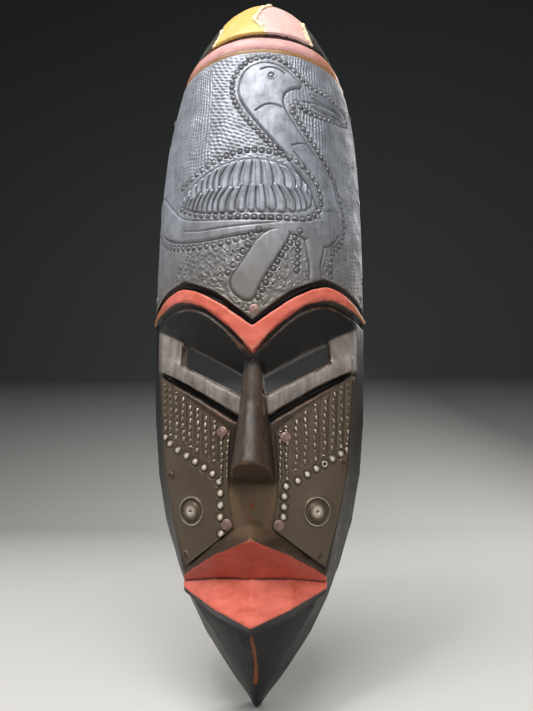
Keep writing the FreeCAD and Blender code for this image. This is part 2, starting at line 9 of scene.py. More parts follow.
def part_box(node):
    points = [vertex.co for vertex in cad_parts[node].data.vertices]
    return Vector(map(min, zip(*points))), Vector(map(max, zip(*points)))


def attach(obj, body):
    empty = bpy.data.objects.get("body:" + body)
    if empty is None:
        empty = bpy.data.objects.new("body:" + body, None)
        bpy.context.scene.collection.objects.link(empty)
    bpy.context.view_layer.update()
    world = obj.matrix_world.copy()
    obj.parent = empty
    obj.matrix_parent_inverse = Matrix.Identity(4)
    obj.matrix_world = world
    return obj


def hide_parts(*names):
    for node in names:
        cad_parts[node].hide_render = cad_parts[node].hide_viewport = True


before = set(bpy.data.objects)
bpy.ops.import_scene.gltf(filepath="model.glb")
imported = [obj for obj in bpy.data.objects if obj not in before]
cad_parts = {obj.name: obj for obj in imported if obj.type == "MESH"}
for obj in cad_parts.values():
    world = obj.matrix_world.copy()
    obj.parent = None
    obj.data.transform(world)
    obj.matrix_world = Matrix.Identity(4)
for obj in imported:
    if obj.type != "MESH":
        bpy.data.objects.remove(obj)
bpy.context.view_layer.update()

WOOD_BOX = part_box("mask_body")
CHIN = WOOD_BOX[0][2]                 # height of the chin tip
BACK = WOOD_BOX[1][1] + 0.0004        # plane of the uncut back rim
MM = 0.001
scene = bpy.context.scene


# ------------------------------------------------------------------ small numeric tools
def to_local(co):
    """Metres in the row frame to millimetres: across, height above the chin, depth."""
    return co[:, 0] / MM, (co[:, 2] - CHIN) / MM, (BACK - co[:, 1]) / MM


def from_local(x, h, d):
    return np.stack([x * MM, BACK - d * MM, CHIN + h * MM], axis=-1)


def smoothstep(lo, hi, v):
    t = np.clip((v - lo) / (hi - lo), 0.0, 1.0)
    return t * t * (3 - 2 * t)


def hashed(ix, iy, iz, seed):
    n = (ix * 374761393 + iy * 668265263 + iz * 2147483647 + seed * 974711) & 0xFFFFFFFF
    n = ((n ^ (n >> 13)) * 1274126177) & 0xFFFFFFFF
    return ((n ^ (n >> 16)) & 0xFFFF) / 32767.5 - 1.0


def vnoise(points, size, seed=0):
    """Smooth value noise between -1 and 1; size is one cell, a number or three."""
    p = points / np.asarray(size, dtype=float)
    cell = np.floor(p).astype(np.int64)
    f = p - cell
    f = f * f * (3 - 2 * f)
    out = np.zeros(len(p))
    for dx in (0, 1):
        for dy in (0, 1):
            for dz in (0, 1):
                w = ((f[:, 0] if dx else 1 - f[:, 0]) * (f[:, 1] if dy else 1 - f[:, 1])
                     * (f[:, 2] if dz else 1 - f[:, 2]))
                out += w * hashed(cell[:, 0] + dx, cell[:, 1] + dy, cell[:, 2] + dz, seed)
    return out


def fractal(points, size, seed=0, octaves=3):
    size = np.asarray(size, dtype=float)
    return sum(vnoise(points, size / 2 ** k, seed + k) / 2 ** k for k in range(octaves)) / 1.75


def line_distance(px, py, line):
    """Distance of points from an open polyline."""
    best = np.full(px.shape, 1e9)
    for (ax, ay), (bx, by) in zip(line[:-1], line[1:]):
        dx, dy = bx - ax, by - ay
        t = np.clip(((px - ax) * dx + (py - ay) * dy) / (dx * dx + dy * dy + 1e-12), 0, 1)
        best = np.minimum(best, np.hypot(px - ax - t * dx, py - ay - t * dy))
    return best


def inside_distance(px, py, loop):
    """Signed distance of points from a closed outline, positive inside."""
    distance = line_distance(px, py, list(loop) + [loop[0]])
    inside = np.zeros(px.shape, dtype=bool)
    for (ax, ay), (bx, by) in zip(loop, list(loop[1:]) + [loop[0]]):
        crosses = (ay > py) != (by > py)
        slope = (bx - ax) / (by - ay if abs(by - ay) > 1e-9 else 1e-9)
        inside ^= crosses & (px < ax + (py - ay) * slope)
    return np.where(inside, distance, -distance)


def rounded(line, passes=2, closed=False):
    """Corner-cut polyline, so that listed points give a flowing line."""
    pts = [tuple(p) for p in line]
    for _ in range(passes):
        loop = pts + [pts[0]] if closed else pts
        new = [] if closed else [pts[0]]
        for (ax, ay), (bx, by) in zip(loop[:-1], loop[1:]):
            new += [(0.75 * ax + 0.25 * bx, 0.75 * ay + 0.25 * by),
                    (0.25 * ax + 0.75 * bx, 0.25 * ay + 0.75 * by)]
        pts = new if closed else new + [pts[-1]]
    return pts


def spaced(line, step):
    """Points at even steps along a polyline."""
    line = np.asarray(line, dtype=float)
    seg = np.hypot(*(line[1:] - line[:-1]).T)
    total = np.concatenate([[0], np.cumsum(seg)])
    at = np.linspace(0, total[-1], max(2, int(round(total[-1] / step)) + 1))
    return np.stack([np.interp(at, total, line[:, 0]), np.interp(at, total, line[:, 1])], axis=1)


def mirror(line):
    return [(-x, y) for x, y in line]


def both_sides(right):
    """Left half mirrored from the right, joined at the centre line."""
    return [(-x, y) for x, y in reversed(right) if x > 1e-6] + list(right)


# ------------------------------------------------------------------ mesh tools
def mesh_arrays(me):
    n = len(me.vertices)
    co = np.empty(n * 3)
    me.vertices.foreach_get("co", co)
    no = np.empty(n * 3)
    me.vertices.foreach_get("normal", no)
    edges = np.empty(len(me.edges) * 2, dtype=np.int64)
    me.edges.foreach_get("vertices", edges)
    return co.reshape(-1, 3), no.reshape(-1, 3), edges.reshape(-1, 2)


def neighbour_mean(values, edges, count):
    out = np.zeros((count, values.shape[1]))
    degree = np.bincount(edges.ravel(), minlength=count).astype(float)
    for k in range(values.shape[1]):
        out[:, k] = (np.bincount(edges[:, 0], values[edges[:, 1], k], count)
                     + np.bincount(edges[:, 1], values[edges[:, 0], k], count))
    return out / np.maximum(degree, 1)[:, None]


def smooth_values(values, edges, times, amount=0.5):
    flat = values.ndim == 1
    v = values[:, None] if flat else values
    for _ in range(times):
        v = v + amount * (neighbour_mean(v, edges, len(v)) - v)
    return v[:, 0] if flat else v


def set_positions(me, co):
    me.vertices.foreach_set("co", np.ascontiguousarray(co, dtype=np.float32).ravel())
    me.update()


def set_attribute(me, name, values):
    layer = me.attributes.new(name, "FLOAT", "POINT")
    layer.data.foreach_set("value", np.ascontiguousarray(values, dtype=np.float32))


def cad_copy(node, name):
    """A new object with a welded copy of a CAD node's mesh."""
    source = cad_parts[node]
    me = source.data.copy()
    me.transform(source.matrix_world)
    me.materials.clear()
    bm = bmesh.new()
    bm.from_mesh(me)
    bmesh.ops.remove_doubles(bm, verts=bm.verts, dist=1e-6)
    bm.to_mesh(me)
    bm.free()
    ob = bpy.data.objects.new(name, me)
    scene.collection.objects.link(ob)
    return ob


def node_tree(node):
    """Ray-casting tree of a CAD node in the row frame."""
    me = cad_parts[node].data
    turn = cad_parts[node].matrix_world
    return BVHTree.FromPolygons([turn @ v.co for v in me.vertices],
                                [tuple(f.vertices) for f in me.polygons])


def remeshed(ob, voxel):
    mod = ob.modifiers.new("voxels", "REMESH")
    mod.mode = "VOXEL"
    mod.voxel_size = voxel
    mod.adaptivity = 0
    dg = bpy.context.evaluated_depsgraph_get()
    me = bpy.data.meshes.new_from_object(ob.evaluated_get(dg))
    ob.modifiers.clear()
    old, ob.data = ob.data, me
    bpy.data.meshes.remove(old)
    me.name = ob.name
    return ob


def curvature_masks(edges, co, no):
    """How far each point stands proud of its surroundings, in millimetres."""
    wide = smooth_values(co, edges, 14)
    return np.einsum("ij,ij->i", co - wide, no) / MM


def grid_mesh(name, points, rows, cols, skirt):
    """Quad grid mesh with a thin skirt that turns its four edges in."""
    count = rows * cols
    idx = np.arange(count).reshape(rows, cols)
    quads = np.stack([idx[:-1, :-1], idx[:-1, 1:], idx[1:, 1:], idx[1:, :-1]], axis=-1).reshape(-1, 4)
    rim = np.concatenate([idx[0, :], idx[1:, -1], idx[-1, -2::-1], idx[-2:0:-1, 0]])
    inner = points.reshape(-1, 3)[rim] + skirt
    new = np.arange(count, count + len(rim))
    sides = np.stack([rim, new, np.roll(new, -1), np.roll(rim, -1)], axis=-1)
    me = bpy.data.meshes.new(name)
    me.from_pydata(np.concatenate([points.reshape(-1, 3), inner]).tolist(), [],
                   np.concatenate([quads, sides]).tolist())
    me.update()
    me.validate()
    me.shade_smooth()
    ob = bpy.data.objects.new(name, me)
    scene.collection.objects.link(ob)
    return ob


def grid_blur(field, times):
    for _ in range(times):
        f = np.pad(field, 1, mode="edge")
        field = (f[1:-1, 1:-1] * 2 + f[:-2, 1:-1] + f[2:, 1:-1] + f[1:-1, :-2] + f[1:-1, 2:]) / 6
    return field


# ------------------------------------------------------------------ shader tools
class Nodes:
    """Short hand for building a node material."""

    def __init__(self, name):
        self.mat = bpy.data.materials.new(name)
        self.mat.use_nodes = True
        self.tree = self.mat.node_tree
        self.tree.nodes.clear()
        self.out = self.tree.nodes.new("ShaderNodeOutputMaterial")
        self.bsdf = self.tree.nodes.new("ShaderNodeBsdfPrincipled")
        self.tree.links.new(self.bsdf.outputs[0], self.out.inputs[0])
        self.coords = self.tree.nodes.new("ShaderNodeTexCoord").outputs["Object"]

    def put(self, socket, value):
        if isinstance(value, bpy.types.NodeSocket):
            self.tree.links.new(value, socket)
        elif isinstance(value, (tuple, list)) and len(value) == 3 and len(socket.default_value) == 4:
            socket.default_value = (*value, 1)
        else:
            socket.default_value = value

    def attribute(self, name):
        node = self.tree.nodes.new("ShaderNodeAttribute")
        node.attribute_name = name
        return node.outputs["Fac"]

    def scaled(self, scale):
        node = self.tree.nodes.new("ShaderNodeMapping")
        self.put(node.inputs["Vector"], self.coords)
        node.inputs["Scale"].default_value = scale
        return node.outputs[0]

    def noise(self, scale, detail=4.0, rough=0.55, stretch=None, distortion=0.0):
        node = self.tree.nodes.new("ShaderNodeTexNoise")
        self.put(node.inputs["Vector"], self.scaled(stretch) if stretch else self.coords)
        node.inputs["Scale"].default_value = scale
        node.inputs["Detail"].default_value = detail
        node.inputs["Roughness"].default_value = rough
        node.inputs["Distortion"].default_value = distortion
        return node.outputs["Fac"]

    def range(self, value, lo, hi, to_lo=0.0, to_hi=1.0):
        node = self.tree.nodes.new("ShaderNodeMapRange")
        node.clamp = True
        self.put(node.inputs["Value"], value)
        for key, v in (("From Min", lo), ("From Max", hi), ("To Min", to_lo), ("To Max", to_hi)):
            node.inputs[key].default_value = v
        return node.outputs[0]

    def math(self, kind, a, b=0.0, clamp=False):
        node = self.tree.nodes.new("ShaderNodeMath")
        node.operation = kind
        node.use_clamp = clamp
        self.put(node.inputs[0], a)
        self.put(node.inputs[1], b)
        return node.outputs[0]

    def mix(self, factor, a, b):
        node = self.tree.nodes.new("ShaderNodeMix")
        node.data_type = "RGBA"
        self.put(node.inputs[0], factor)
        self.put(node.inputs[6], a)
        self.put(node.inputs[7], b)
        return node.outputs[2]

    def blend(self, factor, a, b):
        node = self.tree.nodes.new("ShaderNodeMix")
        node.data_type = "FLOAT"
        self.put(node.inputs[0], factor)
        self.put(node.inputs[2], a)
        self.put(node.inputs[3], b)
        return node.outputs[0]

    def bump(self, height, distance, strength=1.0, normal=None):
        node = self.tree.nodes.new("ShaderNodeBump")
        node.inputs["Strength"].default_value = strength
        node.inputs["Distance"].default_value = distance
        self.put(node.inputs["Height"], height)
        if normal is not None:
            self.put(node.inputs["Normal"], normal)
        return node.outputs[0]

    def finish(self, **values):
        for key, value in values.items():
            self.put(self.bsdf.inputs[key.replace("_", " ")], value)
        return self.mat


def srgb(r, g, b):
    return tuple(((c / 255 + 0.055) / 1.055) ** 2.4 if c > 10 else c / 255 / 12.92 for c in (r, g, b))


# ------------------------------------------------------------------ carved wood: outlines
# Right-hand halves, across and height in millimetres above the chin tip.
BROW_TOP = [(0, 189.5), (20, 204), (38, 213.5), (50, 211), (64, 203.4)]
BROW_LOW = [(0, 174.5), (18, 195), (36, 206), (50, 205.5), (64, 201.2)]
LIP_TOP = [(0, 85.9), (18, 78.0), (30, 69.9), (35.6, 65.6), (36.8, 62.7)]
LIP_LOW = [(36.8, 62.0), (35.6, 59.9), (18, 53.8), (0, 47.4)]
SEAM_LINES = {"left": [(-20.6, 378.5), (-22.6, 372.0), (-25.2, 366.0)],
              "centre": [(8.0, 403.0), (2.6, 391.0), (-0.6, 379.0), (3.4, 372.6), (6.4, 366.5)],
              "right": [(27.4, 385.5), (29.4, 378.6), (30.8, 372.0), (32.8, 366.0)]}
# Painted rings round the top of the forehead: heights where each one starts.
OCHRE, PINK, GROOVE, PATCHES = 350.6, 354.0, 361.9, 366.2
# Right-hand halves of two carved areas round the eye.
UNDER_BROW = [(0, 172.5), (10, 182.5), (20, 192), (30, 199), (42, 202), (54, 199.5), (59, 197.5),
              (39.5, 185.6), (4.8, 165.6)]
LID_AND_TEMPLE = [(5.9, 143.6), (24, 153.8), (39.5, 163), (53, 170), (60, 174), (60, 197),
                  (39.5, 185.3), (39.5, 172.9), (5.9, 155.2)]


def brow_loop():
    return both_sides(rounded(BROW_TOP, 2)) + list(reversed(both_sides(rounded(BROW_LOW, 2))))


def lip_loop():
    return both_sides(LIP_TOP) + list(reversed(both_sides(list(reversed(LIP_LOW)))))


def groove(x, h, front, line, half_width, depth, ragged=0.0, p=None):
    """Cut along a line seen from the front; returns how deep each point goes."""
    d = line_distance(x, h, line)
    if ragged:
        d = d + ragged * vnoise(p, (5, 5, 2.2), 91)
    return np.where(front, depth * smoothstep(half_width, 0.0, d), 0.0)


def on_either_side(x, h, loop):
    """How far inside a loop or its mirror image a point is."""
    return np.maximum(inside_distance(x, h, loop), inside_distance(x, h, mirror(loop)))


def carve(ob):
    """Hand-carved surface on the wood: grooves, tool marks, cracks, softened edges."""
    me = ob.data
    co, no, edges = mesh_arrays(me)
    co = smooth_values(co, edges, 2)
    set_positions(me, co)
    co, no, edges = mesh_arrays(me)
    x, h, d = to_local(co)
    p = np.stack([x, d, h], axis=1)
    front = no[:, 1] < -0.12
    facing = smoothstep(0.1, 0.35, -no[:, 1])
    cut = np.zeros(len(co))
    gap_top = both_sides(rounded([(0, 190.9), (20, 206.4), (38, 215.7), (50, 213.4), (64, 205.4)], 2))
    gap_low = both_sides(rounded([(0, 172.9), (9, 183.2), (19, 193.2), (30, 201.2), (41, 203.8),
                                  (52, 202.2), (64, 199.4)], 2))
    cut += groove(x, h, front & (d > 2), gap_top, 2.6, 2.6, 0.25, p)
    cut += groove(x, h, front & (d > 2), gap_low, 2.2, 2.3, 0.2, p)
    lid = rounded([(8.5, 142.6), (24, 152.2), (39.5, 161.4), (52.5, 168.2)], 1)
    for line in (lid, mirror(lid)):
        cut += groove(x, h, front & (h < 172), line, 2.3, 3.2, 0.25, p)
    slit_low = [(5.9, 155.2), (39.5, 172.9), (39.5, 185)]
    for line in (slit_low, mirror(slit_low)):
        cut += groove(x, h, front & (d > 18), line, 2.2, 1.2, 0.3, p)
    mouth = both_sides([(0, 67.4), (18, 66.4), (37, 62.6)])
    cut += groove(x, h, front, mouth, 0.7, 0.7, 0.1, p)
    crack = [(0.4, 86), (-0.3, 81), (0.3, 76), (-0.2, 69)]
    cut += groove(x, h, front, crack, 0.6, 0.5, 0.2, p)
    edge_line = both_sides([(0, 41.6), (18, 48.2), (35, 58)])
    cut += groove(x, h, front, edge_line, 1.8, 0.9, 0.2, p)
    wrap = (no[:, 1] < 0.3) & (d > 0.8)
    ring = h + 0.3 * vnoise(p, 11, 5)
    cut += np.where(wrap, 0.75 * smoothstep(0.8, 0.0, np.abs(ring - PINK)), 0)
    cut += np.where(wrap, 1.3 * smoothstep(GROOVE - 0.4, GROOVE + 0.5, ring)
                    * smoothstep(PATCHES + 0.5, PATCHES - 0.3, ring), 0)
    cut += np.where(wrap, 0.5 * smoothstep(0.8, 0.0, np.abs(h - 350.8)), 0)
    middle = (PINK + GROOVE) / 2
    band = np.where(wrap, 0.5 * (1 - np.clip(np.abs(h - middle) / 2.8, 0, 1) ** 2), 0)
    band += np.where(wrap, 0.9 * smoothstep(PATCHES - 0.2, PATCHES + 0.5, ring)
                     * smoothstep(PATCHES + 16, PATCHES + 2, ring), 0)
    sheets = (np.where(front, smoothstep(-1, 1, inside_distance(x, h, sheet_loop())), 0)
              + np.where((h > 210) & (h < 350) & (d > 4), 1.0, 0)).clip(0, 1)
    free = 1 - sheets
    knife = 0.14 * fractal(p, (9, 9, 26), 11, 2) + 0.05 * vnoise(p, (3, 3, 8), 17)
    rows = 0.09 * vnoise(p, (2.2, 2.2, 60), 23)
    hollow = smoothstep(0.15, 0.5, no[:, 1]) * np.where(d > 1.2, 1.0, 0.0)
    u = (x + 1.6 * vnoise(p, 22, 31)) / 7.5
    v = (h + 9 * np.where(np.floor(u) % 2 == 0, 1, 0) + 4 * vnoise(p, 30, 37)) / 21
    gouge = (1 - (2 * (u % 1) - 1) ** 2) * (1 - 0.55 * (2 * (v % 1) - 1) ** 4)
    move = free * (knife + rows) * (1 - hollow) + band - cut
    move += -0.75 * gouge * hollow + 0.2 * hollow * fractal(p, (4, 4, 9), 41, 2)
    rim = smoothstep(0.7, 0.95, no[:, 1]) * np.where(d < 1.2, 1.0, 0.0)
    move = np.where(rim > 0.3, -0.12 * np.abs(vnoise(p, (3, 3, 9), 43)), move)
    co = co + no * (move * MM)[:, None]
    co = smooth_values(co, edges, 1, 0.45)
    lid_area = on_either_side(x, h, LID_AND_TEMPLE)
    soften = smoothstep(0.2, 2.0, lid_area) * (no[:, 1] < -0.3) * (d > 14)
    co += (smooth_values(co, edges, 24) - co) * soften[:, None]
    co[:, 2] = np.minimum(co[:, 2], WOOD_BOX[1][2] - 0.00003)
    set_positions(me, co)
    me.shade_smooth()
    finish_wood(me, facing)


def sheet_loop():
    right = [(52.4, 168.0), (30.0, 151.0), (15.0, 139.5), (11.6, 136.5), (12.6, 121.0),
             (12.2, 106.0), (10.0, 92.5), (9.2, 90.2), (35.2, 70.2), (40.8, 89.0),
             (46.2, 111.0), (49.6, 137.0), (51.8, 161.0)]
    return right + mirror(right)[::-1]


def finish_wood(me, facing):
    co, no, edges = mesh_arrays(me)
    x, h, d = to_local(co)
    proud = curvature_masks(edges, co, no)
    # how far each point stands proud (positive) or sunk (negative); it drives edge lightening and crease
    # darkening
    set_attribute(me, "proudness", proud)
    front = facing > 0.02
    brow = inside_distance(x, h, brow_loop())
    lip = inside_distance(x, h, lip_loop())
    under = on_either_side(x, h, UNDER_BROW)
    lid = on_either_side(x, h, LID_AND_TEMPLE)
    set_attribute(me, "under_brow", np.where((no[:, 1] < 0) & (d > 14), under, -5).clip(-5, 5))
    set_attribute(me, "lid", np.where((no[:, 1] < -0.3) & (d > 14), lid, -5).clip(-5, 5))
    set_attribute(me, "brow", np.where(front & (d > 1), brow, -5).clip(-5, 5))
    set_attribute(me, "lip", np.where((no[:, 1] < 0.2) & (d > 20), lip, -5).clip(-5, 5))
    for name, line in SEAM_LINES.items():
        heights = [q[1] for q in reversed(line)]
        at = np.interp(h, heights, [q[0] for q in reversed(line)])
        set_attribute(me, "seam_" + name, (x - at).clip(-30, 30))
    set_attribute(me, "up", h)
    lower_lip = np.interp(np.abs(x), [0, 18, 37], [67.0, 65.9, 62.2])
    set_attribute(me, "lit", smoothstep(-0.3, 0.3, lower_lip - h) + smoothstep(120, 130, h))
    set_attribute(me, "depth", d)
    worn = spots(x, h, [(-0.4, 100, 1.6, 1.8), (-1.0, 94.2, 1.7, 1.3)])
    keel = line_distance(x, h, [(-0.8, 39), (0.4, 31), (0.8, 24), (0.2, 15)])
    keel = smoothstep(1.5, 0.2, keel + 0.5 * vnoise(co / MM, (3, 3, 5), 51)) * (d > 12)
    set_attribute(me, "bare", np.clip(worn + keel, 0, 1))


def spots(x, h, rows):
    out = np.zeros(x.shape)
    for sx, sh, rx, rh in rows:
        r = np.hypot((x - sx) / rx, (h - sh) / rh)
        out += smoothstep(1.2, 0.5, r)
    return out


# ------------------------------------------------------------------ wood material
def wood_material():
    n = Nodes("stained_wood_and_paint")
    proud = n.attribute("proudness")
    grain = n.noise(300, 5, 0.6, (1.0, 1.0, 0.055), 0.2)
    pores = n.noise(900, 2, 0.5, (1.0, 1.0, 0.04))
    blotch = n.noise(38, 4, 0.6)
    patchy = n.noise(75, 5, 0.7)
    fine = n.noise(1500, 3, 0.6)
    dark = n.mix(n.range(grain, 0.35, 0.7), srgb(38, 29, 22), srgb(70, 55, 42))
    dark = n.mix(n.range(blotch, 0.35, 0.75, 0, 0.6), dark, srgb(52, 38, 28))
    # painted shade: the wood turns near-black below the mouth, on the chin
    dark = n.mix(n.range(n.attribute("up"), 66, 54), dark, srgb(11, 10, 7))
    # painted shade: darker wood on the shallow side walls near the back rim
    dark = n.mix(n.range(n.attribute("depth"), 24, 14), dark, srgb(24, 20, 16))
    ragged = n.math("ADD", proud, n.range(fine, 0.2, 0.8, -0.09, 0.09))
    ragged = n.math("ADD", ragged, n.range(patchy, 0.3, 0.7, -0.34, 0.16))
    lid = n.range(n.attribute("lid"), -0.6, 0.9)
    # painted sheen: the lid bars and temples get a light grey-brown instead of the dark stain
    lid_painted_sheen = n.mix(n.range(grain, 0.35, 0.65), srgb(124, 115, 109), srgb(160, 151, 145))
    dark = n.mix(n.math("MULTIPLY", lid, n.range(patchy, 0.3, 0.65, 0.35, 0.9)), dark, lid_painted_sheen)
    # painted light: lighter brown on the philtrum under the nose, against the nose's shade
    middle = n.math("MULTIPLY", n.range(n.math("ABSOLUTE", n.attribute("across"), 0.0), 15, 11),
                    n.math("MULTIPLY", n.range(n.attribute("up"), 112, 106),
                           n.range(n.attribute("up"), 84, 90)))
    dark = n.mix(middle, dark, n.mix(grain, srgb(84, 66, 48), srgb(120, 98, 74)))
    # painted shade: near-black under the brow ridge
    dark = n.mix(n.range(n.attribute("under_brow"), -0.6, 0.6), dark, srgb(13, 10, 9))
    # light brown on raised edges: worn stain, and also a painted sheen
    edge = n.range(ragged, 0.2, 0.42)
    dark = n.mix(n.math("MULTIPLY", edge, 0.62), dark, srgb(118, 84, 62))
    raw = n.mix(n.range(fine, 0.35, 0.65), srgb(150, 82, 36), srgb(98, 52, 26))
    bare = n.math("ADD", n.attribute("bare"), n.range(n.noise(420, 4, 0.7), 0.25, 0.75, -0.65, 0.3))
    bare = n.range(bare, 0.25, 0.8)
    dark = n.mix(bare, dark, raw)
    # near-black wherever the surface sinks below its surroundings, in creases and hollows
    crease_darkening = n.range(proud, -0.12, -0.5)
    dark = n.mix(crease_darkening, dark, srgb(7, 5, 5))

    strokes = n.noise(260, 3, 0.6, (0.25, 1.0, 1.0))
    red = n.mix(n.range(strokes, 0.35, 0.7), srgb(156, 54, 36), srgb(180, 70, 50))
    lit = n.mix(n.range(strokes, 0.35, 0.7), srgb(196, 92, 74), srgb(218, 112, 94))
    red = n.mix(n.range(n.attribute("lit"), 0.35, 0.65), red, lit)
    red = n.mix(n.range(blotch, 0.45, 0.75, 0, 0.2), red, srgb(140, 50, 36))
    # pale pink on raised ridges of the red paint: worn paint, and also a painted highlight
    red_edge = n.mix(n.math("MULTIPLY", n.range(ragged, 0.3, 0.55), 0.6), red, srgb(226, 160, 134))
    red_edge = n.mix(n.range(proud, -0.14, -0.5), red_edge, srgb(52, 16, 12))
    fray = n.range(n.noise(500, 3, 0.6), 0.2, 0.8, -0.35, 0.35)

    def zone(name, soft=0.12):
        return n.range(n.math("ADD", n.attribute(name), fray), -soft, soft)

    brow, lip = zone("brow"), zone("lip")
    across = n.attribute("across")
    brow_end = n.range(n.math("ABSOLUTE", across, 0.0), 49, 60)
    brow_red = n.mix(brow_end, red_edge, srgb(168, 108, 52))
    colour = n.mix(brow, dark, brow_red)
    colour = n.mix(lip, colour, red_edge)

    up = n.math("ADD", n.attribute("up"), n.range(n.noise(420, 3, 0.6), 0.2, 0.8, -0.3, 0.3))

    def above(level):
        return n.range(up, level - 0.15, level + 0.15)

    ochre = n.mix(n.range(blotch, 0.3, 0.7), srgb(134, 96, 58), srgb(154, 116, 76))
    pink = n.mix(n.range(strokes, 0.3, 0.7), srgb(196, 138, 134), srgb(214, 166, 162))
    pink = n.mix(n.math("MULTIPLY", n.range(ragged, 0.1, 0.4), 0.4), pink, srgb(206, 160, 146))
    flank = n.range(n.math("ABSOLUTE", across, 0.0), 30, 46)
    pink = n.mix(flank, pink, srgb(160, 100, 56))
    tan = n.mix(n.range(grain, 0.3, 0.7), srgb(150, 92, 46), srgb(178, 120, 66))
    maroon = n.mix(n.range(grain, 0.3, 0.7), srgb(74, 34, 32), srgb(100, 52, 46))
    maroon = n.mix(n.range(across, 8, 0), maroon, tan)
    maroon = n.mix(n.range(n.math("ABSOLUTE", across, 0.0), 24, 32), maroon, srgb(34, 26, 22))
    yellow = n.mix(n.range(strokes, 0.3, 0.7), srgb(204, 168, 88), srgb(220, 188, 112))
    yellow = n.mix(n.range(patchy, 0.55, 0.7, 0, 0.5), yellow, srgb(214, 184, 124))
    blush = n.mix(n.range(strokes, 0.3, 0.7), srgb(208, 164, 156), srgb(222, 184, 176))
    grey = n.mix(n.range(patchy, 0.35, 0.65), srgb(40, 38, 34), srgb(86, 84, 78))
    crown = n.mix(above(PINK), ochre, pink)
    crown = n.mix(above(GROOVE), crown, maroon)
    left = n.range(n.attribute("seam_left"), -0.2, 0.2)
    middle = n.range(n.attribute("seam_centre"), -0.2, 0.2)
    right = n.range(n.attribute("seam_right"), -0.2, 0.2)
    patch = n.mix(left, grey, yellow)
    patch = n.mix(middle, patch, blush)
    patch = n.mix(right, patch, grey)
    crown = n.mix(above(PATCHES), crown, patch)
    crown = n.mix(n.range(proud, -0.12, -0.5), crown, srgb(48, 22, 15))
    outer = n.attribute("outer")
    on_crown = n.math("MULTIPLY", above(OCHRE), n.range(n.attribute("depth"), 1.2, 2.2))
    painted_crown = n.math("MULTIPLY", on_crown, n.range(outer, 0.4, 0.6))
    colour = n.mix(painted_crown, colour, crown)
    scuff = n.range(n.noise(120, 6, 0.75), 0.64, 0.7)
    paint = n.math("MAXIMUM", n.math("MAXIMUM", brow, lip), painted_crown)
    colour = n.mix(n.math("MULTIPLY", n.math("MULTIPLY", scuff, paint), 0.4), colour, srgb(92, 58, 40))
    inside = n.mix(n.range(grain, 0.3, 0.7), srgb(66, 45, 32), srgb(112, 80, 56))
    inside = n.mix(n.range(blotch, 0.4, 0.8), inside, srgb(50, 34, 25))
    hidden = n.range(outer, 0.6, 0.4)
    colour = n.mix(hidden, colour, inside)

    rough = n.range(patchy, 0.3, 0.7, 0.38, 0.54)
    rough = n.blend(n.range(n.attribute("under_brow"), -0.6, 0.6), rough, 0.62)
    rough = n.blend(lid, rough, n.range(grain, 0.3, 0.7, 0.26, 0.42))
    rough = n.blend(paint, rough, n.range(patchy, 0.3, 0.7, 0.36, 0.52))
    rough = n.blend(bare, rough, 0.7)
    rough = n.blend(hidden, rough, 0.72)
    first = n.bump(pores, 0.00025, 0.35)
    second = n.bump(grain, 0.0005, 0.35, first)
    third = n.bump(n.noise(160, 5, 0.6), 0.0006, 0.4, second)
    return n.finish(Base_Color=colour, Roughness=rough, Normal=third, Coat_Weight=0.06,
                    Coat_Roughness=0.3, Specular_IOR_Level=0.3)


# ------------------------------------------------------------------ embossed metal sheets
def plate_height(x):
    """Height of the forehead sheet's lower edge at a distance across."""
    return np.interp(np.abs(x), [0, 20, 38.5, 50, 66], [191.8, 208.0, 217.0, 214.5, 206.4])


# The bird, in millimetres: distance round the forehead from its centre line, and height.
BIRD = {
    "head": [(-8, 331), (-5, 338), (1, 342), (8, 343), (16, 340.5), (23, 335), (28, 329.5),
             (21, 327.5), (16.5, 323), (16, 316), (20, 308), (26, 299), (33, 290), (40, 281),
             (46, 271), (49, 261), (51, 250), (51, 243), (40, 243), (38, 251), (34, 262),
             (27, 272), (20, 281), (14, 289), (7, 297), (1, 305), (-5, 314), (-9, 323)],
    "upper_beak": [(31, 326.5), (42, 327.6), (54, 327), (62, 324.2), (50, 324.6), (38, 324.2)],
    "lower_beak": [(31, 321.5), (42, 322.6), (52, 323), (60, 322.6), (50, 319.6), (38, 318.4)],
    "wing": [(-45, 266), (-38, 271), (-26, 277), (-14, 281), (0, 282), (12, 280), (22, 276),
             (29, 270), (33, 262), (31, 255), (24, 252), (8, 250), (-14, 251), (-30, 254), (-42, 260)],
    "belly": [(-80, 278), (-72, 280), (-62, 272), (-52, 262), (-44, 254), (-30, 249), (-10, 246.5),
              (12, 246), (30, 247), (38, 252), (50, 246), (46, 238), (36, 234), (22, 240), (8, 240.5),
              (-8, 238), (-28, 237), (-46, 241), (-60, 248), (-72, 258)],
    "thigh": [(6, 241), (22, 243), (14, 228), (4, 212), (-1, 199), (-14, 210), (-6, 222)],
    "shin": [(28, 240), (40, 238), (38, 228), (36, 222), (40, 213), (30, 212), (31, 222), (29, 230)],
}
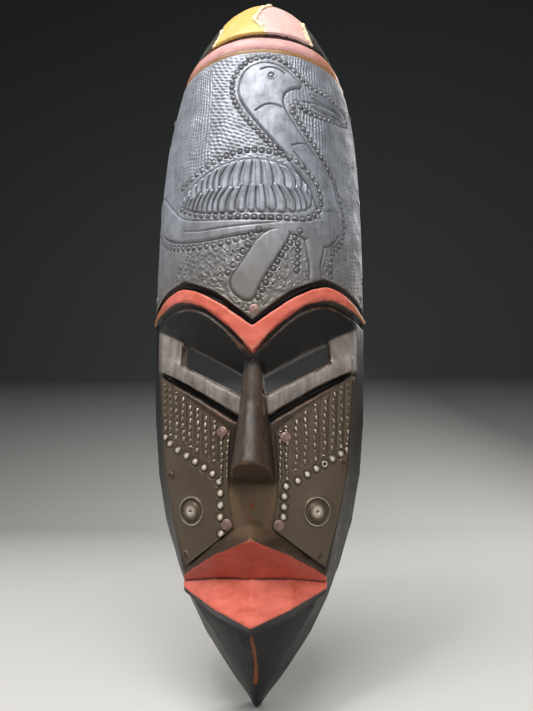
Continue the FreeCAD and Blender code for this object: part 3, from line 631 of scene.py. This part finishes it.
BEAD_LINES = [
    [(-45, 274), (-33, 279), (-20, 284), (-8, 287), (4, 287), (16, 285), (26, 280), (33, 274),
     (38, 266), (38, 257), (33, 251), (27, 248.5)],
    [(-45, 261), (-40, 257.5), (-30, 252.5), (-16, 249.5), (0, 247.5), (14, 247.5), (27, 248.5)],
    [(-72, 253), (-60, 243), (-48, 238), (-34, 234.5), (-18, 233.5), (-4, 236.5), (3, 240)],
    [(-84, 276), (-82, 266), (-77, 258), (-72, 253)],
    [(8, 347.5), (0, 346), (-7, 342), (-12, 335), (-13, 327), (-11, 318), (-6, 309), (1, 300),
     (8, 291.5), (15, 286)],
    [(8, 347.5), (15, 346), (22, 341), (28, 335), (34, 331.5), (44, 331.5), (54, 331), (62, 329),
     (67, 326), (66, 322.5), (58, 318.5), (48, 315.5), (38, 314), (28, 315), (24, 319)],
    [(24, 319), (21, 314), (25, 307), (31, 299), (38, 290), (45, 281), (51, 271), (55, 260),
     (56, 249), (53, 240), (46, 234), (44, 227), (44, 219)],
    [(25, 241), (18, 232), (12, 222), (7, 212), (3, 203.5)],
    [(0, 236), (-6, 227), (-13, 217.5)],
    [(24, 234), (24, 226), (23, 219)],
]


BEAD_GAPS = [4.0, 4.5, 4.2, 2.8, 3.4, 3.4, 3.7, 4.2, 4.4, 4.2]


def relief_forehead(a, h, x):
    """Embossing height in millimetres over the forehead sheet."""
    p = np.stack([a.ravel(), np.zeros(a.size), h.ravel()], axis=1)
    relief = 0.32 * fractal(p, (20, 20, 20), 5, 3).reshape(a.shape)
    body = np.full(a.shape, -50.0)
    for name, loop in BIRD.items():
        sd = inside_distance(a, h, rounded(loop, 2, True))
        if name == "wing":
            wing = sd
        else:
            body = np.maximum(body, sd)
    relief += 0.75 * smoothstep(-0.4, 1.2, body) - 0.4 * smoothstep(0.6, 0.0, np.abs(body + 0.5))
    solid = smoothstep(-2.0, -1.2, np.maximum(body, wing))
    relief += feathers(a, h, wing)
    rows = [spaced(rounded(line, 2), gap) for line, gap in zip(BEAD_LINES, BEAD_GAPS)]
    near, which = nearest(a, h, np.concatenate(rows))
    size = 1.42 + 0.14 * np.sin(which * 12.9898)
    relief += (1.05 + 0.2 * np.sin(which * 4.7)) * np.sqrt(np.clip(1 - (near / size) ** 2, 0, 1))
    relief -= 0.6 * smoothstep(2.1, 1.3, near)
    solid = np.maximum(solid, smoothstep(2.4, 1.8, near))
    relief += engraving(a, h, solid, p)
    relief += bird_lines(a, h)
    low = h - plate_height(x)
    nicks = vnoise(p, (1.5, 1.5, 3), 77).reshape(a.shape)
    relief += smoothstep(2.6, 0.3, low) * (0.25 + 0.55 * nicks)
    return relief, smoothstep(1.9, 1.1, near)


def nearest(a, h, spots_at):
    """Distance to the nearest of some points, and which one it is."""
    best = np.full(a.shape, 1e9)
    which = np.zeros(a.shape)
    for i, (sa, sh) in enumerate(spots_at):
        rows = np.nonzero((np.abs(h - sh) < 3).any(axis=1))[0]
        if not len(rows):
            continue
        r0, r1 = rows[0], rows[-1] + 1
        cols = np.nonzero((np.abs(a[r0:r1] - sa) < 3).any(axis=0))[0]
        if not len(cols):
            continue
        c0, c1 = cols[0], cols[-1] + 1
        d = np.hypot(a[r0:r1, c0:c1] - sa, h[r0:r1, c0:c1] - sh)
        closer = d < best[r0:r1, c0:c1]
        best[r0:r1, c0:c1] = np.where(closer, d, best[r0:r1, c0:c1])
        which[r0:r1, c0:c1] = np.where(closer, i, which[r0:r1, c0:c1])
    return best, which


def feathers(a, h, wing):
    """Two overlapping rows of ribbed crescent feathers inside the wing."""
    inside = smoothstep(-0.2, 1.2, wing)
    sweep = np.clip((a - 2) / 20, -1, 1)
    out = np.full(a.shape, -0.1)
    for top, reach, pitch, shift in ((270.0, 20.5, 3.3, 1.7), (284.5, 21.5, 3.7, 0.0)):
        t = np.clip((top - h) / reach, 0, 1)
        q = (a + shift - sweep * (7.5 * t ** 1.5 + 4.2 * np.sin(np.pi * t))) / pitch
        f = q % 1.0
        rib = 0.5 - 0.5 * np.cos(2 * np.pi * 3.0 * f)
        end = 0.96 - 0.1 * np.abs(2 * f - 1.2) + 0.05 * np.sin(2.9 * np.floor(q))
        cover = smoothstep(end, end - 0.06, t) * (h < top + 1)
        blade = -0.15 + 1.1 * np.sin(np.pi * np.clip(f, 0, 1) ** 1.4) + 0.22 * rib
        out = out * (1 - cover) + blade * cover
    return out * inside - 0.3 * smoothstep(1.2, 0.0, np.abs(wing))


def engraving(a, h, solid, p):
    """Chased background: upright dotted lines, dashes behind the neck, stipple at the bottom."""
    def noise(size, seed):
        return vnoise(p, size, seed).reshape(a.shape)

    free = 1 - solid
    drift = 1.5 * noise(17, 3) + 0.45 * noise((3.2, 3.2, 6), 7)
    push = 1.0 * noise(9, 13)
    beside = np.clip(smoothstep(-20, -30, a) + smoothstep(16, 24, a), 0, 1)
    q = (a + drift + 0.05 * a * (h - 270) / 60) / 1.95
    line = (0.5 - 0.5 * np.cos(2 * np.pi * q)) ** 0.8
    dots = 0.5 - 0.5 * np.cos(2 * np.pi * (h / 2.3 + push + np.sin(12.9 * np.floor(q))))
    upright = line * (0.55 + 0.45 * dots) * (0.75 + 0.4 * noise(4, 19))
    slope = h * 0.93 + a * 0.34 + 0.9 * drift
    dash = 0.5 - 0.5 * np.cos(2 * np.pi * slope / 2.1)
    broken = smoothstep(-0.45, 0.2, np.sin(a * 1.7 + 2.4 * noise(5, 23) + np.floor(slope / 2.1) * 2.4))
    behind = 0.85 * dash * (0.15 + 0.85 * broken)
    low = smoothstep(238, 231, h) * (np.abs(a) < 46)
    cells = noise((1.15, 1.15, 1.15), 29) + 0.5 * noise((2.1, 2.1, 2.1), 31)
    stipple = smoothstep(-0.15, 0.45, cells)
    field = upright * beside + behind * (1 - beside)
    field = field * (1 - low) + stipple * low
    return (0.55 * field - 0.14) * free * (0.75 + 0.35 * noise(12, 37))


def bird_lines(a, h):
    """Eye, brow, neck creases and the line between the two halves of the beak."""
    out = np.zeros(a.shape)
    eye = np.hypot(a - 9.5, h - 334)
    out += 0.4 * smoothstep(0.5, 0.0, np.abs(eye - 2.3)) + 0.5 * smoothstep(1.2, 0.3, eye)
    out -= 0.3 * smoothstep(0.6, 0.0, np.abs(eye - 1.5))
    for line, depth, width in (
            ([(4, 338), (8, 339.6), (13, 339), (17, 336.4)], 0.55, 0.8),
            ([(1, 311), (6, 315), (11, 315.6), (17, 313.5)], 0.6, 0.9),
            ([(21, 291), (26, 293.4), (31, 293)], 0.55, 0.8),
            ([(22, 287), (28, 280), (33, 272)], 0.5, 0.9),
            ([(41, 256), (46, 258), (50, 256)], 0.4, 0.8),
            ([(28, 321), (40, 322.4), (52, 324), (61, 324)], 0.75, 0.7),
            ([(-58, 268), (-62, 260), (-58, 250)], 0.45, 1.0),
            ([(-40, 246), (-30, 243), (-14, 242.6), (2, 243.4), (20, 246)], 0.45, 0.9)):
        out -= depth * smoothstep(width, 0.0, line_distance(a, h, rounded(line, 2)))
    return out


SHEET_TURN = 1.37                     # angle from the front to each side edge of the forehead sheet


def forehead_plate():
    """Dense sheet wrapped round the forehead wood and embossed."""
    tree = node_tree("mask_body")
    rows, cols = ((470, 520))
    axis_y = BACK + 0.0086
    coarse_r, coarse_c = 60, 90
    angle = np.linspace(-1.38, 1.38, coarse_c)
    level = np.linspace(186.0, 352.0, coarse_r)
    radius = np.zeros((coarse_r, coarse_c))
    for i, up in enumerate(level):
        for j, t in enumerate(angle):
            way = Vector((math.sin(t), -math.cos(t), 0))
            start = Vector((0, axis_y, CHIN + up * MM)) + way * 0.12
            radius[i, j] = 0.12 - tree.ray_cast(start, -way)[3]
    radius[:3] = radius[3]
    radius = grid_blur(radius, 3)
    t = np.linspace(-SHEET_TURN, SHEET_TURN, cols)[None, :].repeat(rows, 0)
    x_guess = 62.4 * np.sin(t)
    v = np.linspace(0, 1, rows)[:, None].repeat(cols, 1)
    low = plate_height(x_guess)
    h = low + (350.0 - low) * v
    fi = np.interp(h, level, np.arange(coarse_r))
    fj = np.interp(t, angle, np.arange(coarse_c))
    r = cubic_sample(radius, fi, fj)
    centre = cubic_sample(radius, fi, np.full_like(fj, (coarse_c - 1) / 2))
    a = centre / MM * t
    relief, beads = relief_forehead(a, h, r * np.sin(t) / MM)
    edge = np.minimum(smoothstep(0, 0.012, v), smoothstep(1, 0.992, v))
    flank = smoothstep(SHEET_TURN, SHEET_TURN - 0.02, np.abs(t))
    relief *= edge * flank
    rr = r + (SHEET_TOP + relief) * MM
    pts = np.stack([rr * np.sin(t), axis_y - rr * np.cos(t), CHIN + h * MM], axis=-1)
    return pts, relief, h, beads


def cubic_sample(grid, fi, fj):
    """Catmull-Rom sampling of a coarse grid."""
    i0, j0 = np.floor(fi).astype(int), np.floor(fj).astype(int)
    u, w = fi - i0, fj - j0

    def weights(s):
        return (-0.5 * s + s * s - 0.5 * s ** 3, 1 - 2.5 * s * s + 1.5 * s ** 3,
                0.5 * s + 2 * s * s - 1.5 * s ** 3, -0.5 * s * s + 0.5 * s ** 3)

    out = np.zeros(fi.shape)
    wu, ww = weights(u), weights(w)
    for a in range(4):
        for b in range(4):
            ii = np.clip(i0 + a - 1, 0, grid.shape[0] - 1)
            jj = np.clip(j0 + b - 1, 0, grid.shape[1] - 1)
            out += wu[a] * ww[b] * grid[ii, jj]
    return out


# Cheek sheets: edges as distance across for each height, on the right-hand side.
CHEEK_HEIGHTS = [70.2, 89.0, 90.2, 92.5, 106.0, 111.0, 121.0, 136.5, 137.0, 139.5, 151.0, 161.0, 168.0]
CHEEK_OUTER = [35.2, 40.8, 41.1, 41.7, 45.1, 46.2, 47.5, 49.55, 49.6, 49.8, 50.8, 51.8, 52.4]
CHEEK_INNER = [35.1, 10.8, 9.2, 10.0, 12.2, 12.4, 12.6, 11.6, 12.1, 15.0, 30.0, 43.2, 52.3]
BEAD_ROWS = {
    -1: [(-48.6, 134.5), (-45.2, 131), (-40.3, 127.5), (-35, 124.5), (-30, 121.5), (-25, 118.5),
         (-20.5, 115.5), (-17, 111.5), (-16.4, 106), (-16.2, 100.2), (-16.2, 94.6), (-15.6, 86.8)],
    1: [(48.6, 127.8), (44.6, 125.6), (40, 123), (35.8, 120.4), (31.6, 118), (27, 115.2),
        (22.2, 112), (16.4, 109.4), (15.4, 104.6), (15.2, 99.6), (14.8, 94.9)],
}


# The wood under a cheek sheet, at five heights: half width of its front, depth at the
# centre line and depth at the side edge. Then the sheet's own lower and upper ends.
CHEEK_STATIONS = [66, 90, 115, 145, 172]
CHEEK_EDGE = [36.5, 42, 47.5, 51, 53.6]
CHEEK_LEVEL = [41.5, 42, 41.5, 40, 38.5]
CHEEK_FLANK = [24, 25, 24.5, 22.5, 20]
CHEEK_LOW, CHEEK_HIGH = 70.3, 167.9
COARSE_ROWS, COARSE_COLS = 54, 36
SHEET_SKIRT = 0.00045
SHEET_TOP = 0.62
FAN_COLUMNS = {-1: [13.0, 15.8, 20.0, 24.2, 28.4, 32.6, 36.6, 40.4, 44.0, 47.2],
               1: [13.6, 16.6, 21.4, 26.0, 30.8, 35.4, 39.8, 43.8, 47.4]}
OPEN_BEAD = (35.8, 120.4)


def relief_cheek(x, h, side):
    """Embossing height in millimetres over a cheek sheet."""
    xa = np.abs(x)
    p = np.stack([x.ravel(), np.zeros(x.size), h.ravel()], axis=1)
    relief = 0.4 * fractal(p, (16, 16, 16), 61 + side, 3).reshape(x.shape)
    row = BEAD_ROWS[side]
    near, which = nearest(x, h, np.array(row))
    size = 2.0 + 0.2 * np.sin(which * 7.13)
    relief += 1.5 * np.clip(1 - (near / size) ** 2, 0, 1) ** 0.65 - 0.4 * smoothstep(3.2, 1.9, near)
    if side > 0:
        hole = np.hypot(x - OPEN_BEAD[0], h - OPEN_BEAD[1])
        relief -= 1.7 * smoothstep(1.2, 0.5, hole)
    relief += fan_dots(xa, h, side)
    ring = np.hypot(x - side * 31.8, (h - 97.2) * 0.94)
    relief += 0.7 * smoothstep(11.0, 5.0, ring)
    relief += (0.6 * smoothstep(0.8, 0.0, np.abs(ring - 6.4))
               - 0.5 * smoothstep(1.2, 0.0, np.abs(ring - 5.2)))
    relief += 1.5 * np.sqrt(np.clip(1 - (ring / 4.3) ** 2, 0, 1))
    relief -= 0.9 * smoothstep(1.1, 0.3, ring)
    return relief, smoothstep(1.7, 0.4, near) + 0.7 * smoothstep(3.6, 1.2, ring)


def fan_dots(xa, h, side):
    """Upright columns of long raised dots between the eye edge and the bead row."""
    out = np.zeros(xa.shape)
    for k, low in enumerate(FAN_COLUMNS[side]):
        lean = 0.055 * (low - 12)
        centre = low + lean * (h - 118) / 30
        near = np.abs(xa - centre)
        top = np.interp(low + lean, [11.6, 15, 30, 52.4], [136.5, 139.5, 151, 168]) - 1.8
        base = 112.5 if k < 2 else np.interp(low, [16, 49], [117, 136] if side < 0 else [112, 129]) + 2.4
        pitch = 2.9 if k < 2 else 3.5
        step = (h - base) / pitch + 0.33 * k
        jitter = 0.35 * np.sin(np.floor(step) * 5.1 + k * 2.3)
        tall = ((step % 1.0) - 0.5) * pitch / 1.35
        wide = (xa - centre - jitter) / 0.82
        body = (h > base) & (h < top)
        dome = np.sqrt(np.clip(1 - wide ** 2 - tall ** 2, 0, 1))
        out += np.where(body, (0.85 + 0.2 * np.sin(np.floor(step) * 3.3 + k)) * dome, 0)
        out -= np.where(body, 0.3 * smoothstep(0.8, 2.1, near) * smoothstep(3.0, 2.1, near), 0)
    return out


def cheek_plate(side):
    tree = node_tree("mask_body")
    rows, cols = ((330, 150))
    coarse_h = np.linspace(66, 172, COARSE_ROWS)
    coarse_x = np.linspace(8.2, 53.2, COARSE_COLS)
    depth = np.zeros((COARSE_ROWS, COARSE_COLS))
    for i, up in enumerate(coarse_h):
        for j, across in enumerate(coarse_x):
            limit = np.interp(up, CHEEK_STATIONS, CHEEK_EDGE) - 0.3
            at = min(across, limit)
            start = Vector((side * at * MM, BACK - 0.09, CHIN + up * MM))
            hit = tree.ray_cast(start, Vector((0, 1, 0)))
            depth[i, j] = (BACK - hit[0].y) / MM if hit[0] else 0.0
            if across > limit:
                depth[i, j] -= (across - limit) * 1.2
    level = np.interp(coarse_h, CHEEK_STATIONS, CHEEK_LEVEL)
    edge = np.interp(coarse_h, CHEEK_STATIONS, CHEEK_EDGE)
    flank = np.interp(coarse_h, CHEEK_STATIONS, CHEEK_FLANK)
    for i in range(COARSE_ROWS):
        r = (edge[i] ** 2 + (level[i] - flank[i]) ** 2) / (2 * (level[i] - flank[i]))
        ideal = level[i] - r + np.sqrt(np.maximum(r * r - np.minimum(coarse_x, edge[i]) ** 2, 0))
        depth[i] = np.minimum(depth[i], ideal + 0.25)
        depth[i] = np.maximum(depth[i], np.where(coarse_x < edge[i], ideal - 0.3, depth[i]))
    depth = grid_blur(depth, 2)
    v = np.linspace(0, 1, rows)
    h = CHEEK_LOW + (CHEEK_HIGH - CHEEK_LOW) * v
    inner = np.interp(h, CHEEK_HEIGHTS, CHEEK_INNER)
    outer = np.interp(h, CHEEK_HEIGHTS, CHEEK_OUTER)
    s = np.linspace(0, 1, cols)
    x = inner[:, None] + (outer - inner)[:, None] * s[None, :]
    hh = h[:, None].repeat(cols, 1)
    d = cubic_sample(depth, np.interp(hh, coarse_h, np.arange(COARSE_ROWS)),
                     np.interp(x, coarse_x, np.arange(COARSE_COLS)))
    relief, domes = relief_cheek(side * x, hh, side)
    rim = np.minimum((x - inner[:, None]), (outer[:, None] - x))
    rim = np.minimum(rim, np.minimum(hh - CHEEK_LOW, CHEEK_HIGH - hh))
    relief = relief * smoothstep(0.0, 0.7, rim) + 0.22 * smoothstep(0.9, 0.1, rim)
    pts = from_local(side * x, hh, d + SHEET_TOP + relief)
    if side < 0:
        pts, relief, domes = pts[:, ::-1], relief[:, ::-1], domes[:, ::-1]
    # the domes go out negative, so that the material paints a highlight on them
    return pts, relief, hh, -domes


def hide_depths(relief, rows, cols):
    """How much each point stands above (bright) or below (dark) its surroundings."""
    field = relief.reshape(rows, cols)
    return (field - grid_blur(field, 6)).ravel()


def embossed(name, plate, node, material):
    pts, relief, up, beads = plate
    rows, cols = relief.shape
    ob = grid_mesh(name, pts, rows, cols, np.array([0.0, SHEET_SKIRT, 0.0]))
    tone = hide_depths(relief, rows, cols)
    extra = len(ob.data.vertices) - rows * cols
    set_attribute(ob.data, "tone", np.concatenate([tone, np.full(extra, -0.3)]))
    set_attribute(ob.data, "up", np.concatenate([up.ravel(), np.zeros(extra)]))
    set_attribute(ob.data, "bead", np.concatenate([beads.ravel(), np.zeros(extra)]))
    bm = bmesh.new()
    bm.from_mesh(ob.data)
    bmesh.ops.recalc_face_normals(bm, faces=bm.faces)
    if sum(f.normal.y * f.calc_area() for f in bm.faces) > 0:
        bmesh.ops.reverse_faces(bm, faces=bm.faces)
    bm.to_mesh(ob.data)
    bm.free()
    ob.data.materials.append(material)
    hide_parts(node)
    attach(ob, "root")
    return ob


def metal_material(name, bright, body, deep, stain, stained, low_tint_and_shade, metallic, worn_patches):
    n = Nodes(name)
    tone = n.attribute("tone")
    cloud = n.noise(55, 5, 0.65)
    fine = n.noise(900, 4, 0.65)
    streak = n.noise(420, 4, 0.6, (1.0, 1.0, 0.09), 0.3)
    rough_tone = n.math("ADD", tone, n.range(fine, 0.25, 0.75, -0.05, 0.05))
    colour = n.mix(n.range(cloud, 0.35, 0.7, 0, 0.5), body, tuple(c * 0.66 for c in body))
    colour = n.mix(n.range(streak, 0.5, 0.68, 0, stained), colour, stain)
    patina = n.range(n.noise(60, 6, 0.75), 0.5, 0.62, 0, stained)
    colour = n.mix(n.math("MULTIPLY", patina, worn_patches), colour, stain)
    grime = n.range(n.noise(110, 6, 0.75), 0.44, 0.66, 0, stained)
    colour = n.mix(grime, colour, deep)
    # towards the sheet's bottom: a browner tint, plus painted shade that darkens the forehead sheet
    colour = n.mix(n.range(n.attribute("up"), 262, 196), colour, low_tint_and_shade)
    bead = n.attribute("bead")
    # painted highlight: the cheek sheets' bead and boss domes (negative bead values) go towards near-white
    colour = n.mix(n.range(bead, 0.0, -1.0, 0, 0.75), colour, bright)
    colour = n.mix(n.range(bead, 0, 1, 0, 0.45), colour, srgb(84, 78, 76))
    # raised tops turn bright: metal rubbed clean of patina, and also a painted highlight
    shine = n.range(rough_tone, 0.12, 0.45)
    top = n.blend(n.range(bead, 0, 1), shine, n.range(rough_tone, 0.4, 0.7))
    colour = n.mix(top, colour, bright)
    hollow = n.range(rough_tone, -0.03, -0.26, 0, 0.92)
    colour = n.mix(hollow, colour, deep)
    rough = n.blend(shine, n.range(cloud, 0.3, 0.7, 0.46, 0.58), 0.3)
    rough = n.math("ADD", rough, n.range(hollow, 0, 1, 0, 0.3))
    metal = n.blend(hollow, metallic, 0.15)
    bump = n.bump(streak, 0.0001, 0.25)
    bump = n.bump(n.noise(240, 4, 0.6), 0.0003, 0.3, bump)
    return n.finish(Base_Color=colour, Roughness=rough, Metallic=metal, Normal=bump)


def worn_metal(name, base, worn, deep, metallic, rough):
    n = Nodes(name)
    cloud = n.noise(500, 4, 0.65)
    proud = n.attribute("proudness")
    colour = n.mix(n.range(cloud, 0.35, 0.65), base, tuple(c * 0.6 for c in base))
    colour = n.mix(n.range(proud, 0.02, 0.12), colour, worn)
    colour = n.mix(n.range(proud, -0.02, -0.1), colour, deep)
    bump = n.bump(n.noise(1400, 3, 0.6), 0.00012, 0.5)
    return n.finish(Base_Color=colour, Roughness=n.range(cloud, 0.3, 0.7, rough, rough + 0.2),
                    Metallic=metallic, Normal=bump)


def refined(node, material, voxel, rough_mm, seed, swell=0.0):
    """Small CAD part rebuilt as a fine mesh with a hand-worked surface."""
    ob = remeshed(cad_copy(node, node + "_worked"), voxel)
    me = ob.data
    co, no, edges = mesh_arrays(me)
    co = smooth_values(co, edges, 1)
    p = co / MM
    dents = vnoise(p, 1.1, seed) * 0.7 + vnoise(p, 0.5, seed + 1) * 0.3
    swelling = swell * (0.9 + 1.6 * vnoise(p, 2.6, seed + 2)) * np.where(no[:, 1] < 0.6, 1, 0)
    co = co + no * ((rough_mm * (dents - 0.3) + swelling) * MM)[:, None]
    set_positions(me, co)
    co, no, edges = mesh_arrays(me)
    set_attribute(me, "proudness", curvature_masks(edges, co, no))
    me.shade_smooth()
    me.materials.append(material)
    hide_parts(node)
    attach(ob, "root")
    return ob


def putty_material():
    n = Nodes("cream_putty")
    proud = n.attribute("proudness")
    colour = n.mix(n.noise(300, 4, 0.6), srgb(214, 190, 146), srgb(240, 226, 190))
    colour = n.mix(n.range(proud, -0.02, -0.15), colour, srgb(112, 60, 28))
    return n.finish(Base_Color=colour, Roughness=0.62, Normal=n.bump(n.noise(900, 4, 0.6), 0.0003, 0.5))


# ------------------------------------------------------------------ build the looks
def build_wood():
    ob = cad_copy("mask_body", "carved_mask_body")
    remeshed(ob, 0.0007)
    carve(ob)
    me = ob.data
    co, no, edges = mesh_arrays(me)
    x, _, d = to_local(co)
    set_attribute(me, "across", x)
    inward = (no[:, 0] * co[:, 0] < 0) & (np.abs(x) > 12) & (d < 30) & (no[:, 1] > -0.2)
    inside = (no[:, 1] > 0.25) | (d < 1.0) | inward
    outer = smooth_values(np.where(inside, 0.0, 1.0), edges, 3)
    set_attribute(me, "outer", outer)
    me.materials.append(wood_material())
    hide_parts("mask_body")
    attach(ob, "root")
    return ob


def build_sheets():
    pewter = metal_material("patinated_aluminium", srgb(196, 200, 208), srgb(150, 154, 163),
                            srgb(36, 34, 33), srgb(104, 104, 104), 0.4, srgb(104, 97, 88), 0.5, 0.0)
    bronze = metal_material("bronze_brown_sheet", srgb(244, 232, 214), srgb(92, 80, 68),
                            srgb(16, 12, 9), srgb(138, 104, 62), 0.6, srgb(92, 79, 64), 0.6, 0.8)
    embossed("embossed_forehead_sheet", forehead_plate(), "forehead_sheet", pewter)
    for side, word in ((-1, "left"), (1, "right")):
        piece = "embossed_%s_cheek" % word
        embossed(piece, cheek_plate(side), word + "_cheek_sheet", bronze)


def build_small():
    copper = worn_metal("tarnished_copper", srgb(150, 120, 112), srgb(204, 172, 160),
                        srgb(60, 38, 33), 0.6, 0.42)
    stained = worn_metal("stained_tack", srgb(74, 58, 46), srgb(176, 156, 124), srgb(20, 14, 10), 0.6, 0.45)
    steel = worn_metal("dull_steel", srgb(120, 118, 116), srgb(190, 190, 190), srgb(40, 38, 36), 0.9, 0.35)
    putty = putty_material()
    seed = 100
    for node in sorted(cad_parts):
        seed += 7
        if node.endswith("_nail"):
            refined(node, copper, 0.00016, 0.12, seed)
        elif node.endswith("_tack") and "cheek" in node:
            refined(node, stained, 0.00016, 0.1, seed)
        elif "tack" in node:
            refined(node, steel, 0.00016, 0.08, seed)
        elif node.startswith("crown_seam"):
            refined(node, putty, 0.0003, 0.35, seed, 0.45)
        elif node == "hanging_staple":
            refined(node, steel, 0.0003, 0.05, seed)


def build_stage():
    """Pale floor that sweeps up into a darker wall well behind the mask."""
    me = bpy.data.meshes.new("studio_sweep")
    floor_z = CHIN - 0.0006
    profile = [(-9.0, floor_z), (0.9, floor_z)]
    profile += [(0.9 + 0.6 * math.sin(t), floor_z + 0.6 * (1 - math.cos(t)))
                for t in np.linspace(0, math.pi / 2, 17)[1:]]
    profile.append((1.5, floor_z + 3.4))
    verts = [(x, y, z) for y, z in profile for x in (-9.0, 9.0)]
    faces = [(2 * i, 2 * i + 1, 2 * i + 3, 2 * i + 2) for i in range(len(profile) - 1)]
    me.from_pydata(verts, [], faces)
    me.shade_smooth()
    ob = bpy.data.objects.new("studio_sweep", me)
    scene.collection.objects.link(ob)
    n = Nodes("pale_floor_grey_wall")
    split = n.tree.nodes.new("ShaderNodeSeparateXYZ")
    n.put(split.inputs[0], n.coords)
    rise = n.range(split.outputs[2], floor_z + 0.01, floor_z + 0.42)
    me.materials.append(n.finish(Base_Color=n.mix(rise, srgb(196, 195, 192), srgb(52, 54, 54)),
                                 Roughness=0.9))


def area_light(name, place, aim, size, power, colour):
    data = bpy.data.lights.new(name, "AREA")
    data.shape = "RECTANGLE"
    data.size, data.size_y = size
    data.energy = power
    data.color = colour
    ob = bpy.data.objects.new(name, data)
    scene.collection.objects.link(ob)
    ob.location = place
    ob.rotation_euler = (Vector(aim) - Vector(place)).to_track_quat("-Z", "Y").to_euler()


def build_lights():
    world = bpy.data.worlds.new("soft_room")
    scene.world = world
    world.use_nodes = True
    world.node_tree.nodes["Background"].inputs[0].default_value = (0.93, 0.96, 1.0, 1)
    world.node_tree.nodes["Background"].inputs[1].default_value = 0.035
    middle = (0, 0, -0.12)
    area_light("key_window", (-0.12, -0.46, 0.6), middle, (0.75, 0.45), 10.5, (1.0, 0.98, 0.96))
    area_light("sparkle", (-0.22, -0.5, 0.55), middle, (0.1, 0.1), 1.6, (1.0, 0.99, 0.97))
    area_light("big_soft", (0, -1.9, 1.5), middle, (3.2, 2.4), 22.0, (0.96, 0.98, 1.0))
    area_light("fill", (0.9, -0.7, 0.0), middle, (0.6, 0.8), 2.4, (0.95, 0.97, 1.0))
    area_light("rim", (-0.95, 0.1, 0.1), middle, (0.5, 0.9), 2.2, (0.96, 0.98, 1.0))
    area_light("behind", (0.7, 0.9, 0.5), middle, (0.8, 0.8), 9.0, (1.0, 0.98, 0.95))


def build_camera():
    """Close wide view from a little below the middle, looking slightly up the mask."""
    data = bpy.data.cameras.new("camera")
    ob = bpy.data.objects.new("camera", data)
    scene.collection.objects.link(ob)
    pitch, yaw, reach = math.radians(12.0), math.radians(3.0), 0.33
    ahead = Vector((-math.sin(yaw) * math.cos(pitch), math.cos(yaw) * math.cos(pitch), math.sin(pitch)))
    aim = Vector((0.0045, BACK, CHIN + 0.184))
    right = ahead.cross(Vector((0, 0, 1))).normalized()
    up = right.cross(ahead)
    turn = Matrix((right, up, -ahead)).transposed().to_4x4()
    ob.matrix_world = Matrix.Translation(aim - ahead * reach) @ turn
    data.lens = 28.25
    data.clip_start, data.clip_end = 0.01, 50
    scene.camera = ob


build_camera()
build_stage()
build_lights()
build_wood()
build_sheets()
build_small()
scene.view_settings.view_transform = "Standard"
bpy.context.view_layer.update()
